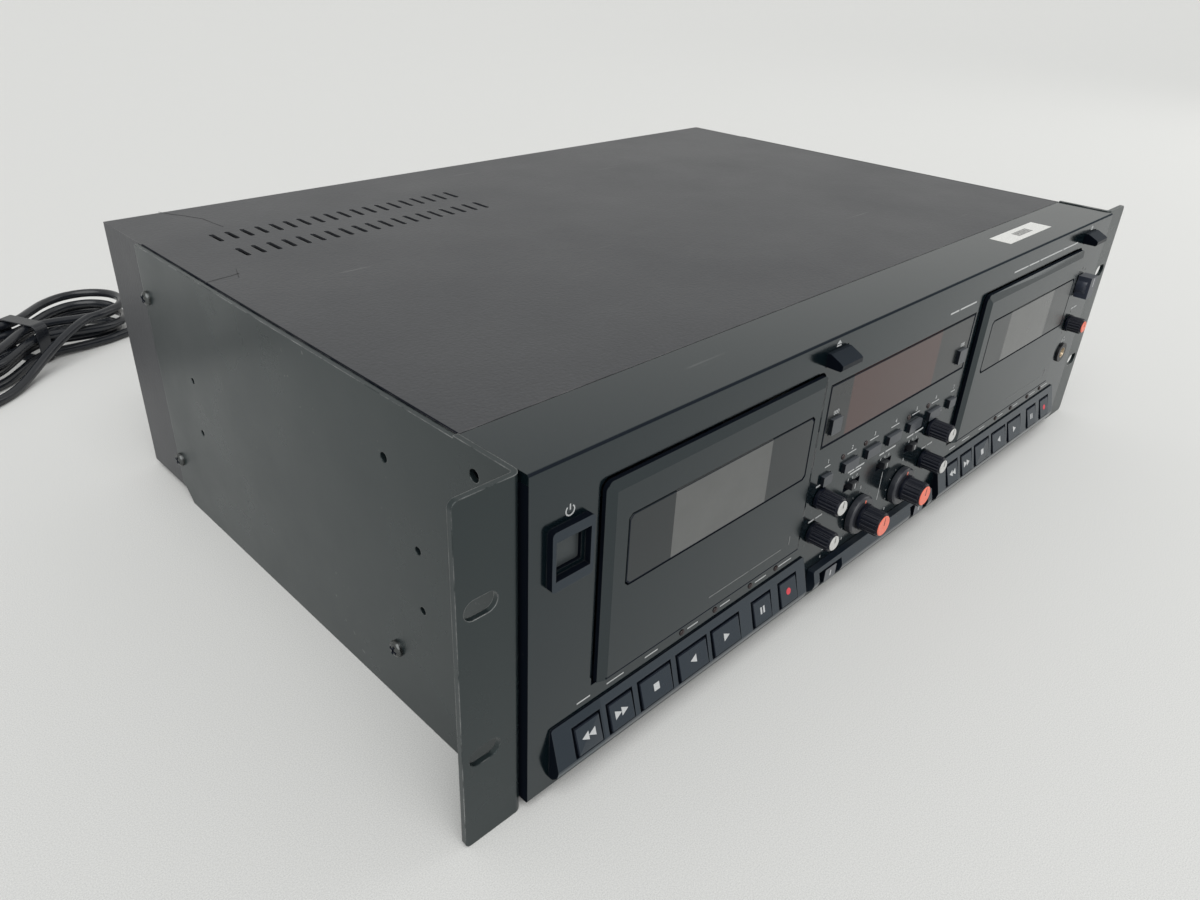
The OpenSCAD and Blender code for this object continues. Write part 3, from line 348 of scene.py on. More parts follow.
def finish(name, colour, rough, grains=1800.0, bump=0.02, wear=0.0, wear_width=0.0008,
           bare=(0.45, 0.45, 0.44), smudge=0.06, scratch=0.0, dust=0.0, metallic=0.0,
           specular=0.5, sheen=(1, 1, 1), edge=0.0, zones=()):
    """Material of one colour with grain, rubbed edges, smudges, scratches and dust.

    Each zone is a mask of place and facing, a colour, and how matte it is from 0 to 1.
    """
    made = bpy.data.materials.new(name)
    made.use_nodes = True
    tree = made.node_tree
    shader = tree.nodes["Principled BSDF"]
    shader.inputs["Metallic"].default_value = metallic
    shader.inputs["Specular IOR Level"].default_value = specular
    shader.inputs["Specular Tint"].default_value = (*sheen, 1)
    g = add_node(tree, "ShaderNodeGroup", node_tree=grain, inputs={"Grains per metre": grains})
    h = add_node(tree, "ShaderNodeGroup", node_tree=handled)
    pair = shade(colour, 1 - TONE_SPREAD), shade(colour, 1 + TONE_SPREAD)
    tone = mix_colour(tree, g.outputs["Tone"], *pair)
    gloss = remap(tree, h.outputs["Smudge"], 0.0, 1.0, rough - smudge, rough + smudge)
    if zones:
        where = add_node(tree, "ShaderNodeTexCoord").outputs
        place, facing = separate(tree, where["Object"]), separate(tree, where["Normal"])
        dull = 0.0
        for mask_of, zone_colour, matte in zones:
            mask = mask_of(tree, place, facing)
            tone = mix_colour(tree, mask, tone, zone_colour)
            dull = math_node(tree, "MAXIMUM", dull, times(tree, mask, matte))
        gloss = math_node(tree, "MAXIMUM", gloss, times(tree, dull, MATTE))
        link(tree, dull, shader.inputs["Metallic"])
    if dust:
        tone = mix_colour(tree, times(tree, h.outputs["Dust"], dust), tone, DUST_GREY)
    if scratch:
        scored = times(tree, h.outputs["Scratch"], scratch)
        tone = mix_colour(tree, scored, tone, shade(bare, 0.6))
    if wear:
        r = add_node(tree, "ShaderNodeGroup", node_tree=rubbed,
                     inputs={"Width": wear_width, "Amount": wear})
        tone = mix_colour(tree, r.outputs["Mask"], tone, bare)
    link(tree, tone, shader.inputs["Base Color"])
    link(tree, gloss, shader.inputs["Roughness"])
    relief = add_node(tree, "ShaderNodeBump", inputs={"Strength": 1.0, "Distance": bump * MM})
    link(tree, g.outputs["Height"], relief.inputs["Height"])
    if edge:
        soft = add_node(tree, "ShaderNodeBevel", samples=6, inputs={"Radius": edge * MM})
        link(tree, soft.outputs["Normal"], relief.inputs["Normal"])
    link(tree, relief.outputs["Normal"], shader.inputs["Normal"])
    return made


print("shared groups in a finish:", grain.name, handled.name, rubbed.name)

# %% [markdown]
# On a dark front, what reads first are the black lines round doors, keys and buttons: the
# narrow gaps, and the side walls that stand in them in shade. A mask of where a point lies
# and which way its face looks gives the key bars a tone of their own, and paints shade on
# those walls as black. Rough plastic keeps a pale sheen, which shade in a gap hasn't, so the
# mask also turns the painted-shade walls to a dull black metal.

# %% Zones of the front
# The first colour is painted shade: the black given to walls and lines in shade, and to one dark
# reflection.
PAINTED_DARKNESS, BAR_TONE, COOL = (0.008, 0.011, 0.018), (0.008, 0.014, 0.024), (0.84, 0.96, 1.0)
ROUND_Z, PANEL_END = 128.4, 217.4
KEY_BAR_TOP, POWER_FRAME_END = 36, -185
MID_BAR_X, MID_BAR_HALF, MID_BAR_SHARE = -3, 54.6, 0.35
COVER_EDGE, PLATE_BACK = 216.7, 258


def past(tree, value, limit_mm, way):
    """One where a coordinate has passed a limit, going up or down by way."""
    half = 0.03 * way
    return remap(tree, value, (limit_mm - half) * MM, (limit_mm + half) * MM)


def ahead_of_panel(tree, place):
    return past(tree, place["Y"], EAR_Y + PANEL_Y - 0.3, -1)


def side_walls(tree, place, facing):
    """Faces that look away from the front."""
    return remap(tree, facing["Y"], -0.8, -0.7)


def key_bars(tree, place, facing):
    """Key bars, which stand ahead of the panel's lower part."""
    return times(tree, ahead_of_panel(tree, place), past(tree, place["Z"], KEY_BAR_TOP, -1))


def panel_walls_in_shade(tree, place, facing):
    """Walls of the panel's openings and its two ends, but not its rounded top, for painted shade.
    """
    low = past(tree, place["Z"], ROUND_Z, -1)
    end = past(tree, math_node(tree, "ABSOLUTE", place["X"]), PANEL_END, 1)
    walls = times(tree, side_walls(tree, place, facing), low)
    middle = math_node(tree, "ABSOLUTE", math_node(tree, "ADD", place["X"], -MID_BAR_X * MM))
    pale = times(tree, key_bars(tree, place, facing), past(tree, middle, MID_BAR_HALF, -1))
    walls = times(tree, walls, remap(tree, pale, 0, 1, 1, MID_BAR_SHARE))
    return math_node(tree, "MAXIMUM", walls, end)


def shade_beside_plate(tree, place, facing):
    """Rounded upper edge of the cover beside the bracket's plate, painted with shade as a dark
    line.
    """
    edge = past(tree, math_node(tree, "ABSOLUTE", place["X"]), COVER_EDGE, 1)
    return times(tree, edge, past(tree, place["Y"], EAR_Y + PLATE_BACK, -1))


def top_round_dark_reflection(tree, place, facing):
    """Rounded edge between the panel's front and its flange, painted black as a dark reflection.
    """
    between = times(tree, remap(tree, facing["Z"], 0.2, 0.3), remap(tree, facing["Z"], 0.97, 0.93))
    return times(tree, between, past(tree, place["Z"], ROUND_Z, 1))


def power_frame(tree, place, facing):
    """Frame round the power button."""
    return times(tree, ahead_of_panel(tree, place), past(tree, place["X"], POWER_FRAME_END, -1))


def looks_up(tree, place, facing):
    return remap(tree, facing["Z"], 0.5, 0.6)


def looks_aside(tree, place, facing):
    return remap(tree, math_node(tree, "ABSOLUTE", facing["X"]), 0.5, 0.6)


# Side walls painted with shade, for doors, keys and buttons.
SHADED_WALLS = (side_walls, PAINTED_DARKNESS, 1.0)
print("gap tone", PAINTED_DARKNESS, "bar tone", BAR_TONE)

# %% [markdown]
# Now each finish in turn: its colour, roughness, grains per metre and bump height, and then
# what is special to it. The colours are very dark, because most of what shows on the deck is
# its gloss. Bare metal differs by its Metallic value, and print is a matte film of its ink.

# %% Finishes of the deck
# The bracket's pale rubbed edges are partly real wear and partly a painted highlight on its
# rounded edges.
bracket_paint = finish(
    "bracket_paint", (0.011, 0.0165, 0.018), 0.31, 2600, 0.008, wear=0.9, wear_width=0.0006,
    sheen=(0.87, 0.98, 0.98), scratch=0.3, dust=0.05, edge=0.6)
# The cover's rounded edge beside each bracket plate gets painted shade.
cover_paint = finish(
    "cover_paint", (0.0315, 0.0335, 0.038), 0.44, 700, 0.08, smudge=0.035, wear=0.4,
    wear_width=0.0005, scratch=0.3, dust=0.08, edge=0.25, zones=[(shade_beside_plate, PAINTED_DARKNESS, 1.0)])
tray_paint = finish("tray_paint", (0.03, 0.031, 0.033), 0.42, 2600, 0.02, wear=0.4, edge=0.2)
# On the panel, the rounded top edge gets a painted dark reflection, and the walls of its openings
# and ends get painted shade.
panel_plastic = finish(
    "panel_plastic", (0.003, 0.0065, 0.0085), 0.16, 2400, 0.004, specular=0.63, smudge=0.04,
    wear=0.05, dust=0.05, scratch=0.12, edge=0.12, sheen=COOL,
    zones=[(key_bars, BAR_TONE, 0), (power_frame, BAR_TONE, 0.25),
           (top_round_dark_reflection, PAINTED_DARKNESS, 0.8), (panel_walls_in_shade, PAINTED_DARKNESS, 1.0)])
door_plastic = finish(
    "door_plastic", (0.008, 0.012, 0.014), 0.18, 2600, 0.004, specular=0.53, wear=0.03,
    dust=0.03, scratch=0.1, smudge=0.04, sheen=COOL, zones=[SHADED_WALLS])
key_plastic = finish(
    "key_plastic", (0.01, 0.016, 0.026), 0.3, 3000, 0.006, wear=0.25, bare=(0.14, 0.15, 0.17),
    smudge=0.08, sheen=COOL, zones=[SHADED_WALLS])
button_plastic = finish(
    "button_plastic", (0.012, 0.013, 0.016), 0.36, 3000, 0.01, wear=0.2, bare=(0.14, 0.14, 0.15))
# The sides of these buttons get painted shade, darker than their fronts.
button_front = finish(
    "button_front", (0.055, 0.061, 0.07), 0.34, 3000, 0.008, wear=0.2, bare=(0.16, 0.17, 0.18),
    zones=[(looks_aside, (0.022, 0.026, 0.034), 1.0)])
# The eject's top gets painted light, a paler matte tone of its own, and its sides get painted
# shade.
eject_plastic = finish(
    "eject_plastic", (0.006, 0.009, 0.014), 0.4, 3000, 0.008, wear=0.1, bare=(0.1, 0.11, 0.12),
    specular=0.15,
    zones=[(looks_up, (0.016, 0.022, 0.03), 0.7), (looks_aside, PAINTED_DARKNESS, 1.0)])
power_front = finish(
    "power_front", (0.034, 0.039, 0.041), 0.3, 3000, 0.008, wear=0.15, bare=(0.14, 0.14, 0.15),
    sheen=COOL, zones=[SHADED_WALLS])
knob_plastic = finish(
    "knob_plastic", (0.004, 0.0055, 0.011), 0.3, 3000, 0.01, wear=0.2, bare=(0.1, 0.1, 0.11),
    specular=0.17)
selector_plastic = finish(
    "selector_plastic", (0.028, 0.033, 0.048), 0.3, 3000, 0.01, wear=0.2, bare=(0.12, 0.12, 0.14))
ring_plastic = finish(
    "ring_plastic", (0.024, 0.026, 0.032), 0.32, 3000, 0.008, wear=0.15, bare=(0.12, 0.12, 0.13))
switch_plastic = finish(
    "switch_plastic", (0.08, 0.087, 0.1), 0.34, 3000, 0.008, wear=0.15, bare=(0.14, 0.14, 0.15),
    zones=[SHADED_WALLS])
socket_plastic = finish("socket_plastic", (0.01, 0.01, 0.011), 0.42, 2600, 0.012)
brass = finish("brass", (0.42, 0.34, 0.24), 0.34, 2600, 0.006, metallic=1.0)
board_green = finish("board_green", (0.03, 0.12, 0.06), 0.4, 2600, 0.01)
plated_steel = finish("plated_steel", (0.5, 0.5, 0.48), 0.32, 2600, 0.008, metallic=1.0)
zinc_plate = finish("zinc_plate", (0.2, 0.2, 0.185), 0.5, 2600, 0.01, smudge=0.1, metallic=1.0)
screw_steel = finish("screw_steel", (0.1, 0.105, 0.105), 0.3, 2600, 0.01, wear=0.6, metallic=1.0)
spindle_white = finish("spindle_white", (0.68, 0.68, 0.65), 0.35, 2600, 0.01)
cap_white = finish("cap_white", (0.54, 0.54, 0.52), 0.45, 2600, 0.012, smudge=0.1)
cap_orange = finish("cap_orange", (0.86, 0.2, 0.13), 0.42, 2600, 0.012, smudge=0.1)
print_grey = finish("print_grey", (0.5, 0.51, 0.51), 0.55, 3000, 0.01)
print_dim = finish("print_dim", (0.16, 0.165, 0.165), 0.55, 3000, 0.01)
print_red = finish("print_red", (0.62, 0.05, 0.07), 0.5, 3000, 0.01)
print_dark = finish("print_dark", (0.018, 0.018, 0.019), 0.6, 3000, 0.01)
# A matte black film of painted shade, for lines of shade in gaps, round windows and in screw
# recesses.
painted_shade_black = finish("painted_shade_black", PAINTED_DARKNESS, 0.9, 3000, 0.01, smudge=0.05, specular=0.1)
lamp_lens = finish("lamp_lens", (0.016, 0.006, 0.006), 0.25, 2600, 0.006)
paper = finish("paper", (0.7, 0.7, 0.67), 0.7, 1500, 0.03, scratch=0.2)
cord_jacket = finish("cord_jacket", (0.01, 0.012, 0.016), 0.27, 900, 0.02, smudge=0.08)
plug_moulding = finish("plug_moulding", (0.014, 0.014, 0.016), 0.42, 1600, 0.03)
print("finishes:", len(bpy.data.materials))

# %% [markdown]
# Two windows change along their width: the display window is dark red in its middle, and
# each door's window is clearer in its middle. That middle is an opaque pale tone, partly the
# grey compartment behind the clear pane and partly painted reflection. The place on the pane
# gives the mask, so it stays one piece, as on the real deck.

# %% Windows with a middle of another tone


def pane_finish(name, outer, middle, middles, rough, streak):
    """Gloss pane with a middle of another tone; middles are its two ends along x for each pane."""
    made = bpy.data.materials.new(name)
    made.use_nodes = True
    tree = made.node_tree
    shader = tree.nodes["Principled BSDF"]
    across = separate(tree, add_node(tree, "ShaderNodeTexCoord").outputs["Object"])["X"]
    inside = 0.0
    for low, high in middles:
        between = times(tree, past(tree, across, low, 1), past(tree, across, high, -1))
        inside = math_node(tree, "MAXIMUM", inside, between)
    h = add_node(tree, "ShaderNodeGroup", node_tree=handled, inputs={"Scale": 30.0})
    pair = shade(middle, 1 - streak), shade(middle, 1 + streak)
    haze = mix_colour(tree, h.outputs["Smudge"], *pair)
    link(tree, mix_colour(tree, inside, outer, haze), shader.inputs["Base Color"])
    gloss = remap(tree, h.outputs["Smudge"], 0.0, 1.0, rough * 0.8, rough * 1.3)
    link(tree, gloss, shader.inputs["Roughness"])
    return made


# The pale middle of the door windows is partly the grey compartment behind and partly painted
# reflection.
window_clear = pane_finish("window_clear", (0.009, 0.014, 0.016), (0.1, 0.103, 0.1),
                           [(x - 27.6, x + 25.1) for x in DECK_X], 0.2, 0.1)
display_filter = pane_finish("display_filter", (0.016, 0.019, 0.02), (0.06, 0.028, 0.024),
                             [(-47.0, 26.6)], 0.23, 0.08)
floor_paint = finish("floor_paint", FLOOR_COLOUR[:3], 0.6, 2200, 0.002, smudge=0.03)
floor_mesh.materials.append(floor_paint)
print("panes:", window_clear.name, display_filter.name)

# %% [markdown]
# ## Dressing the solids
#
# The solids have the right shape, so each keeps its mesh and takes a finish by name. A real
# moulding or folded sheet has no razor edge. On the small pieces a weld and a bevel modifier
# soften every corner; the large sheets have faces with many holes, where a bevel modifier
# leaves creases, so their finish rounds the edge in its shading instead.

# %% Finish and soft edges for each solid
FINISH_OF = {
    "rack_brackets": bracket_paint, "chassis": tray_paint, "top_cover": cover_paint,
    "front_panel": panel_plastic, "display_window": display_filter, "tape_mechanisms": zinc_plate,
    "electronics": board_green, "sockets": socket_plastic, "cassette_door": door_plastic,
    "door_window": window_clear, "reel_spindle": spindle_white, "plug": plug_moulding,
    "cord_lead": cord_jacket, "cord_hank": cord_jacket, "function_button": button_front,
    "counter_reset": button_front, "power_button": power_front, "eject_button": eject_plastic,
    "level_ring": ring_plastic, "monitor_selector": selector_plastic, "bar_switch": switch_plastic,
}
EDGE_MM = {"cassette_door": 0.35, "door_window": 0.12, "plug": 0.8}
SHADED_EDGE = ("rack_brackets", "top_cover", "chassis", "front_panel", "display_window", "cord_")


def named_for(name, table, default):
    for start, value in table.items():
        if name.startswith(start):
            return value
    return default


def soften(piece, width_mm):
    """Welds the corners and bevels every sharp edge by a small width."""
    weld = piece.modifiers.new("weld", "WELD")
    weld.merge_threshold = 0.00001
    round_off = piece.modifiers.new("soft_edge", "BEVEL")
    round_off.width = width_mm * MM
    round_off.segments = 2
    round_off.limit_method = "ANGLE"
    round_off.angle_limit = math.radians(35)


for name, node in nodes.items():
    plain = knob_plastic if "knob" in name or "ring" in name or "selector" in name else (
        key_plastic if "_key_" in name else button_plastic)
    chosen = named_for(name, FINISH_OF, plain)
    node.data.materials.clear()
    node.data.materials.append(chosen)
    if not name.startswith(SHADED_EDGE):
        soften(node, named_for(name, EDGE_MM, 0.2))
print("dressed", len(nodes), "solids")

# %% [markdown]
# ## Print
#
# The marks on the front are thin films of ink. Each is a flat outline drawn in millimetres
# and given a hair of thickness, so that it shows from any side and sits on its face. A mark
# on a key rides with the key.

# %% Pieces, and faces to draw on


def finish_piece(name, mesh, material, body):
    """Links a mesh as a piece that rides a body and takes a slot's finish."""
    mesh.materials.append(material)
    piece = bpy.data.objects.new(name, mesh)
    scene.collection.objects.link(piece)
    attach(piece, body)
    return piece


def from_bmesh(name, made, material, body):
    """Turns a bmesh into a piece, with its faces looking outward."""
    bmesh.ops.recalc_face_normals(made, faces=made.faces)
    mesh = bpy.data.meshes.new(name)
    made.to_mesh(mesh)
    made.free()
    return finish_piece(name, mesh, material, body)


class Face:
    """Plane with an origin and two directions, for drawing in millimetres on it."""

    def __init__(self, origin, across, up):
        self.origin = origin
        self.across = across.normalized()
        self.up = up.normalized()
        self.out = self.across.cross(self.up)

    def point(self, u, v, lift):
        return self.origin + (self.across * u + self.up * v + self.out * lift) * MM


def front_face(x, y, z):
    return Face(at(x, y, z), RIGHT, UP)


print("front face looks to", list(front_face(0, 0, 0).out))

# %% [markdown]
# A film is an outline with a top, a bottom just under the surface and side walls. Most films
# lie on the panel or on a door, so these two have a short call of their own.

# %% Ink on a face
INK_MM, FILM_MM, SINK_MM = 0.08, 0.03, 0.02


def ink(name, face, outlines, material, body, thick=INK_MM):
    """Convex outlines, in millimetres on a face, as one film of ink."""
    made = bmesh.new()
    for outline in outlines:
        low = [made.verts.new(face.point(u, v, -SINK_MM)) for u, v in outline]
        top = [made.verts.new(face.point(u, v, thick)) for u, v in outline]
        made.faces.new(top)
        made.faces.new(low[::-1])
        for i in range(len(outline)):
            j = (i + 1) % len(outline)
            made.faces.new((low[i], low[j], top[j], top[i]))
    return from_bmesh(name, made, material, body)


def on_panel(name, x, z, outlines, material=print_grey, thick=INK_MM):
    """Ink on the panel, drawn about a point of its plane."""
    spot = front_face(x, PANEL_Y, z)
    return ink(name, spot, outlines, material, "deck", thick)


def on_door(name, deck, dx, z, outlines, material, thick=INK_MM):
    """Ink on a door, drawn about a point that is dx from the door's middle."""
    spot, number = front_face(DECK_X[deck] + dx, DOOR_Y, z), deck + 1
    return ink(f"{name}_{number}", spot, outlines, material, f"cassette_door_{number}",
               thick)


print("ink is", INK_MM, "mm thick, and a thin dark line", FILM_MM)

# %% [markdown]
# Every sign is put together from a few outlines: discs, bars, triangles and arcs. They are
# convex, so that each fills as a single face; an arc is a row of small four-sided ones.

# %% Outlines of marks


def disc(u, v, r, steps=24):
    angles = [2 * math.pi * k / steps for k in range(steps)]
    return [(u + r * math.cos(a), v + r * math.sin(a)) for a in angles]


def bar(u, v, w, h):
    left, right, low, high = u - w / 2, u + w / 2, v - h / 2, v + h / 2
    return [(left, low), (right, low), (right, high), (left, high)]


def arrow(u, v, w, h):
    """Triangle that points to the right for a positive w."""
    tri = [(u - w / 2, v - h / 2), (u + w / 2, v), (u - w / 2, v + h / 2)]
    return tri if w > 0 else tri[::-1]


def arc(u, v, r, wide, first, last, steps=20):
    """Arc as a row of four-sided outlines, angles in degrees from the right."""
    cells, near, far = [], r - wide / 2, r + wide / 2
    for k in range(steps):
        a = math.radians(first + (last - first) * k / steps)
        b = math.radians(first + (last - first) * (k + 1) / steps)
        cells.append([(u + q * math.cos(t), v + q * math.sin(t))
                      for q, t in ((near, a), (far, a), (far, b), (near, b))])
    return cells


print("a disc has", len(disc(0, 0, 1)), "corners, an arc", len(arc(0, 0, 1, 0.1, 0, 90)), "cells")

# %% [markdown]
# The transport symbols are the standard ones: double arrows to wind, a square to stop, an
# arrow each way to play, two bars to pause and a red dot to record. The gap round a key looks
# widest at its upper left, where the key's edge is in shade, so a thin dark film runs there.

# %% Symbols on the transport keys
KEYS = ("rewind", "fast_forward", "stop", "reverse_play", "play", "pause", "record")
KEY_FROM = (8.3, 24.4, 40.3, 61.1, 81.3, 107.1, 125.3)
KEY_W = (13.4, 13.4, 18.2, 18.2, 18.2, 13.4, 13.4)
KEY_MID_Y, KEY_MID_Z = -5.667, 20.8
KEY_UP = Vector((0, 3.163, 10.4))
KEY_GAP, EDGE_W, EDGE_IN = 0.9, 0.4, 0.1
SYMBOL = {
    "rewind": [arrow(-1.6, 0, -3.2, 3.4), arrow(1.6, 0, -3.2, 3.4)],
    "fast_forward": [arrow(-1.6, 0, 3.2, 3.4), arrow(1.6, 0, 3.2, 3.4)],
    "stop": [bar(0, 0, 2.9, 2.9)],
    "reverse_play": [arrow(0, 0, -3.4, 3.4)],
    "play": [arrow(0, 0, 3.4, 3.4)],
    "pause": [bar(-0.9, 0, 1.0, 3.0), bar(0.9, 0, 1.0, 3.0)],
    "record": [disc(0, 0, 1.5)],
}
for deck in (0, 1):
    for key, start, width in zip(KEYS, KEY_FROM, KEY_W):
        node = f"{key}_key_{deck + 1}"
        mid = at(BAR_X[deck] + start + width / 2, KEY_MID_Y, KEY_MID_Z)
        face = Face(mid, RIGHT, KEY_UP)
        colour = print_red if key == "record" else print_grey
        ink(f"{node}_symbol", face, SYMBOL[key], colour, node)
        half_w, half_h = width / 2 - KEY_GAP - EDGE_IN, KEY_UP.length / 2 - EDGE_IN
        edges = [bar(-half_w + EDGE_W / 2, 0, EDGE_W, 2 * half_h),
                 bar(0, half_h - EDGE_W / 2, 2 * half_w, EDGE_W)]
        ink(f"{node}_edge", face, edges, painted_shade_black, node, FILM_MM)
print("symbols:", 2 * len(KEYS))

# %% [markdown]
# Numbers are plain dial figures. Blender's text object gives their outlines; the text is
# turned into a mesh at once, so that it is a film of ink like the other marks.

# %% Plain figures


SIZE_FOR_HEIGHT = 1.4


def figures(name, face, text, high, material, body):
    """Digits of a height in millimetres, centred on a face's origin."""
    digits = bpy.data.curves.new(name, "FONT")
    digits.body = text
    digits.align_x = "CENTER"
    digits.align_y = "CENTER"
    digits.size = high * SIZE_FOR_HEIGHT * MM
    digits.extrude = INK_MM * MM
    holder = bpy.data.objects.new(name, digits)
    scene.collection.objects.link(holder)
    ready = holder.evaluated_get(bpy.context.evaluated_depsgraph_get())
    mesh = bpy.data.meshes.new_from_object(ready)
    bpy.data.objects.remove(holder)
    bpy.data.curves.remove(digits)
    stand = Matrix((face.across, face.up, face.out)).transposed().to_4x4()
    mesh.transform(Matrix.Translation(face.origin) @ stand)
    mesh.name = name
    return finish_piece(name, mesh, material, body)


def panel_figures(name, x, z, text, high):
    spot = front_face(x, PANEL_Y, z)
    return figures(name, spot, text, high, print_grey, "deck")


DOOR_DIGIT = (48.0, 48.7)
for deck in (0, 1):
    spot = front_face(DECK_X[deck] + DOOR_DIGIT[0], DOOR_Y, DOOR_DIGIT[1])
    figures(f"door_figure_{deck + 1}", spot, str(deck + 1), 4.2, print_dim,
            f"cassette_door_{deck + 1}")
print("deck figures at", DOOR_DIGIT)

# %% [markdown]
# ## Marks of the panel
#
# The names on the real panel are left off, and the places keep plain marks in the same pale
# ink: a short line over each key, numbers over the function buttons, scales round the knobs
# and a few symbols that every deck shares, such as the power and eject signs.

# %% Lines over the keys and numbers over the buttons
LINE_Z, LINE_H = 34.2, 0.55
LINE_FROM_KEY = (0.2, -0.6, -0.4, 1.8, 1.0, 0.6, -0.8)
LINE_W = (6.2, 8.4, 6.8, 6.0, 6.0, 7.4, 9.0)
for deck in (0, 1):
    lines = [bar(BAR_X[deck] + start + width / 2 + shift, LINE_Z, long, LINE_H)
             for start, width, shift, long in zip(KEY_FROM, KEY_W, LINE_FROM_KEY, LINE_W)]
    on_panel(f"key_lines_{deck + 1}", 0, 0, lines)

FIGURE_H = 1.9
BUTTON_X, BUTTON_FIGURE_Z = (-55.4, -37.0, -18.8, -0.8, 17.8, 36.2, 53.7), 74.6
for i, x in enumerate(BUTTON_X):
    panel_figures(f"button_figure_{i + 1}", x, BUTTON_FIGURE_Z, str(i + 1), FIGURE_H)
RESETS, RESET_RISE = ((-56.5, 92.0), (51.5, 91.5)), 5.6
for i, (x, z) in enumerate(RESETS):
    panel_figures(f"reset_figure_{i + 1}", x, z + RESET_RISE, "000", FIGURE_H)
print("numbers:", len(BUTTON_X) + len(RESETS))

# %% [markdown]
# A black line of painted shade frames each window: the narrow joint between the pane and its
# seat, which lies in shade. It is a band along the pane's edge, drawn as quads from corner to
# corner. A thin line of painted shade also runs along the foot of each door's face, for the
# shaded gap under the door.

# %% Black lines round the windows


def band(half_w, half_h, corner, wide):
    """Frame along the edge of a pane with cut corners, as four-sided outlines."""
    quarter = [(half_w, half_h - corner), (half_w - corner, half_h)]
    points = quarter + [(-u, v) for u, v in quarter[::-1]]
    points += [(-u, -v) for u, v in points]
    inner = [(u * (1 - wide / half_w), v * (1 - wide / half_h)) for u, v in points]
    cells = []
    for k in range(len(points)):
        j = (k + 1) % len(points)
        cells.append([points[k], points[j], inner[j], inner[k]])
    return cells


for deck in (0, 1):
    on_door("window_shade_line", deck, 1.0, 90.3, band(50.2, 13.4, 1.5, 0.35), painted_shade_black, FILM_MM)
    # Painted shade along the foot of each door's face, for the shaded gap under the door.
    on_door("door_foot_shade", deck, 0, 40.9, [bar(0, 0, 112.0, 0.5)], painted_shade_black, FILM_MM)
on_panel("display_shade_line", -2.75, 97.25, band(60.7, 13.7, 0.3, 0.6), painted_shade_black, FILM_MM)
print("window and door lines: 5")

# %% [markdown]
# Longer names become rows of dashes, one for each word, in the size of the real print.

# %% Dashes for the names


WORD_H, SMALL_WORD_H, WORD_GAP = 0.75, 0.4, 1.2


def dashes(lengths, high=WORD_H):
    """Row of dashes with the given lengths, centred on the origin."""
    u = -(sum(lengths) + WORD_GAP * (len(lengths) - 1)) / 2
    row = []
    for long in lengths:
        row.append(bar(u + long / 2, 0, long, high))
        u += long + WORD_GAP
    return row


NAMES = ((-55.5, 64.6, (6, 5)), (-57.5, 47.7, (4, 5)), (39.5, 64.6, (6, 5)),
         (39.0, 47.7, (4, 5)), (-30.0, 61.7, (5, 7)), (-30.0, 60.1, (9,)),
         (-3.0, 60.4, (4, 9)), (22.0, 60.6, (6, 8)), (-44.0, 26.4, (5,)), (36.0, 26.4, (5,)),
         (198.5, 80.7, (8,)), (42.5, 117.4, (8, 16)), (132.0, 123.6, (16, 12, 28, 20)))
BUTTON_DASH, BUTTON_DASH_Z = (4, 7, 7, 7, 7, 7, 4), 72.4
for i, (x, z, lengths) in enumerate(NAMES):
    on_panel(f"name_dashes_{i + 1}", x, z, dashes(lengths))
for i, (x, long) in enumerate(zip(BUTTON_X, BUTTON_DASH)):
    on_panel(f"button_dash_{i + 1}", x, BUTTON_DASH_Z, dashes((long,), SMALL_WORD_H))
for deck in (0, 1):
    on_door("door_dashes", deck, 20.0, 46.9, dashes((24, 20), SMALL_WORD_H), print_dim)
print("rows of dashes:", len(NAMES) + len(BUTTON_X) + 2)

# %% [markdown]
# Three signs are understood everywhere: a broken ring with a bar for power, a triangle over
# a bar for eject, and a headband with two pads. Arcs and bars draw them, so no font is needed.

# %% Power, eject and headphone signs
on_panel("power_sign", -201.2, 114.2, arc(0, 0, 1.7, 0.45, 130, 410) + [bar(0, 1.2, 0.45, 2.0)])
EJECT_X, EJECT_SIGN_Z = (-64.0, 188.0), 128.9
for i, x in enumerate(EJECT_X):
    on_panel(f"eject_sign_{i + 1}", x, EJECT_SIGN_Z,
             [[(-1.5, -0.1), (1.5, -0.1), (0, 1.4)], bar(0, -0.8, 3.0, 0.6)])
on_panel("headphone_sign", 198.0, 60.6, arc(0, 0, 1.7, 0.4, 0, 180)
         + [bar(-1.6, -0.6, 0.9, 1.5), bar(1.6, -0.6, 0.9, 1.5)])
print("signs: power, eject, headphones")

# %% [markdown]
# A scale is a fan of short strokes round the knob's shaft. Angles count clockwise from the
# top, as on a clock, because that is how a dial is read.

# %% Scales round the knobs


STROKE_HALF, SWEEP = 0.18, 140


def scale(name, x, z, radius, long, sweep, count):
    """Strokes round a knob, spread evenly over a sweep to both sides of the top."""
    strokes = []
    for k in range(count):
        a = math.radians(-sweep + 2 * sweep * k / (count - 1))
        out = Vector((math.sin(a), math.cos(a)))
        side = Vector((math.cos(a), -math.sin(a))) * STROKE_HALF
        near, far = out * radius, out * (radius + long)
        strokes.append([tuple(p) for p in (near - side, near + side, far + side, far - side)])
    return on_panel(name, x, z, strokes, print_dim)


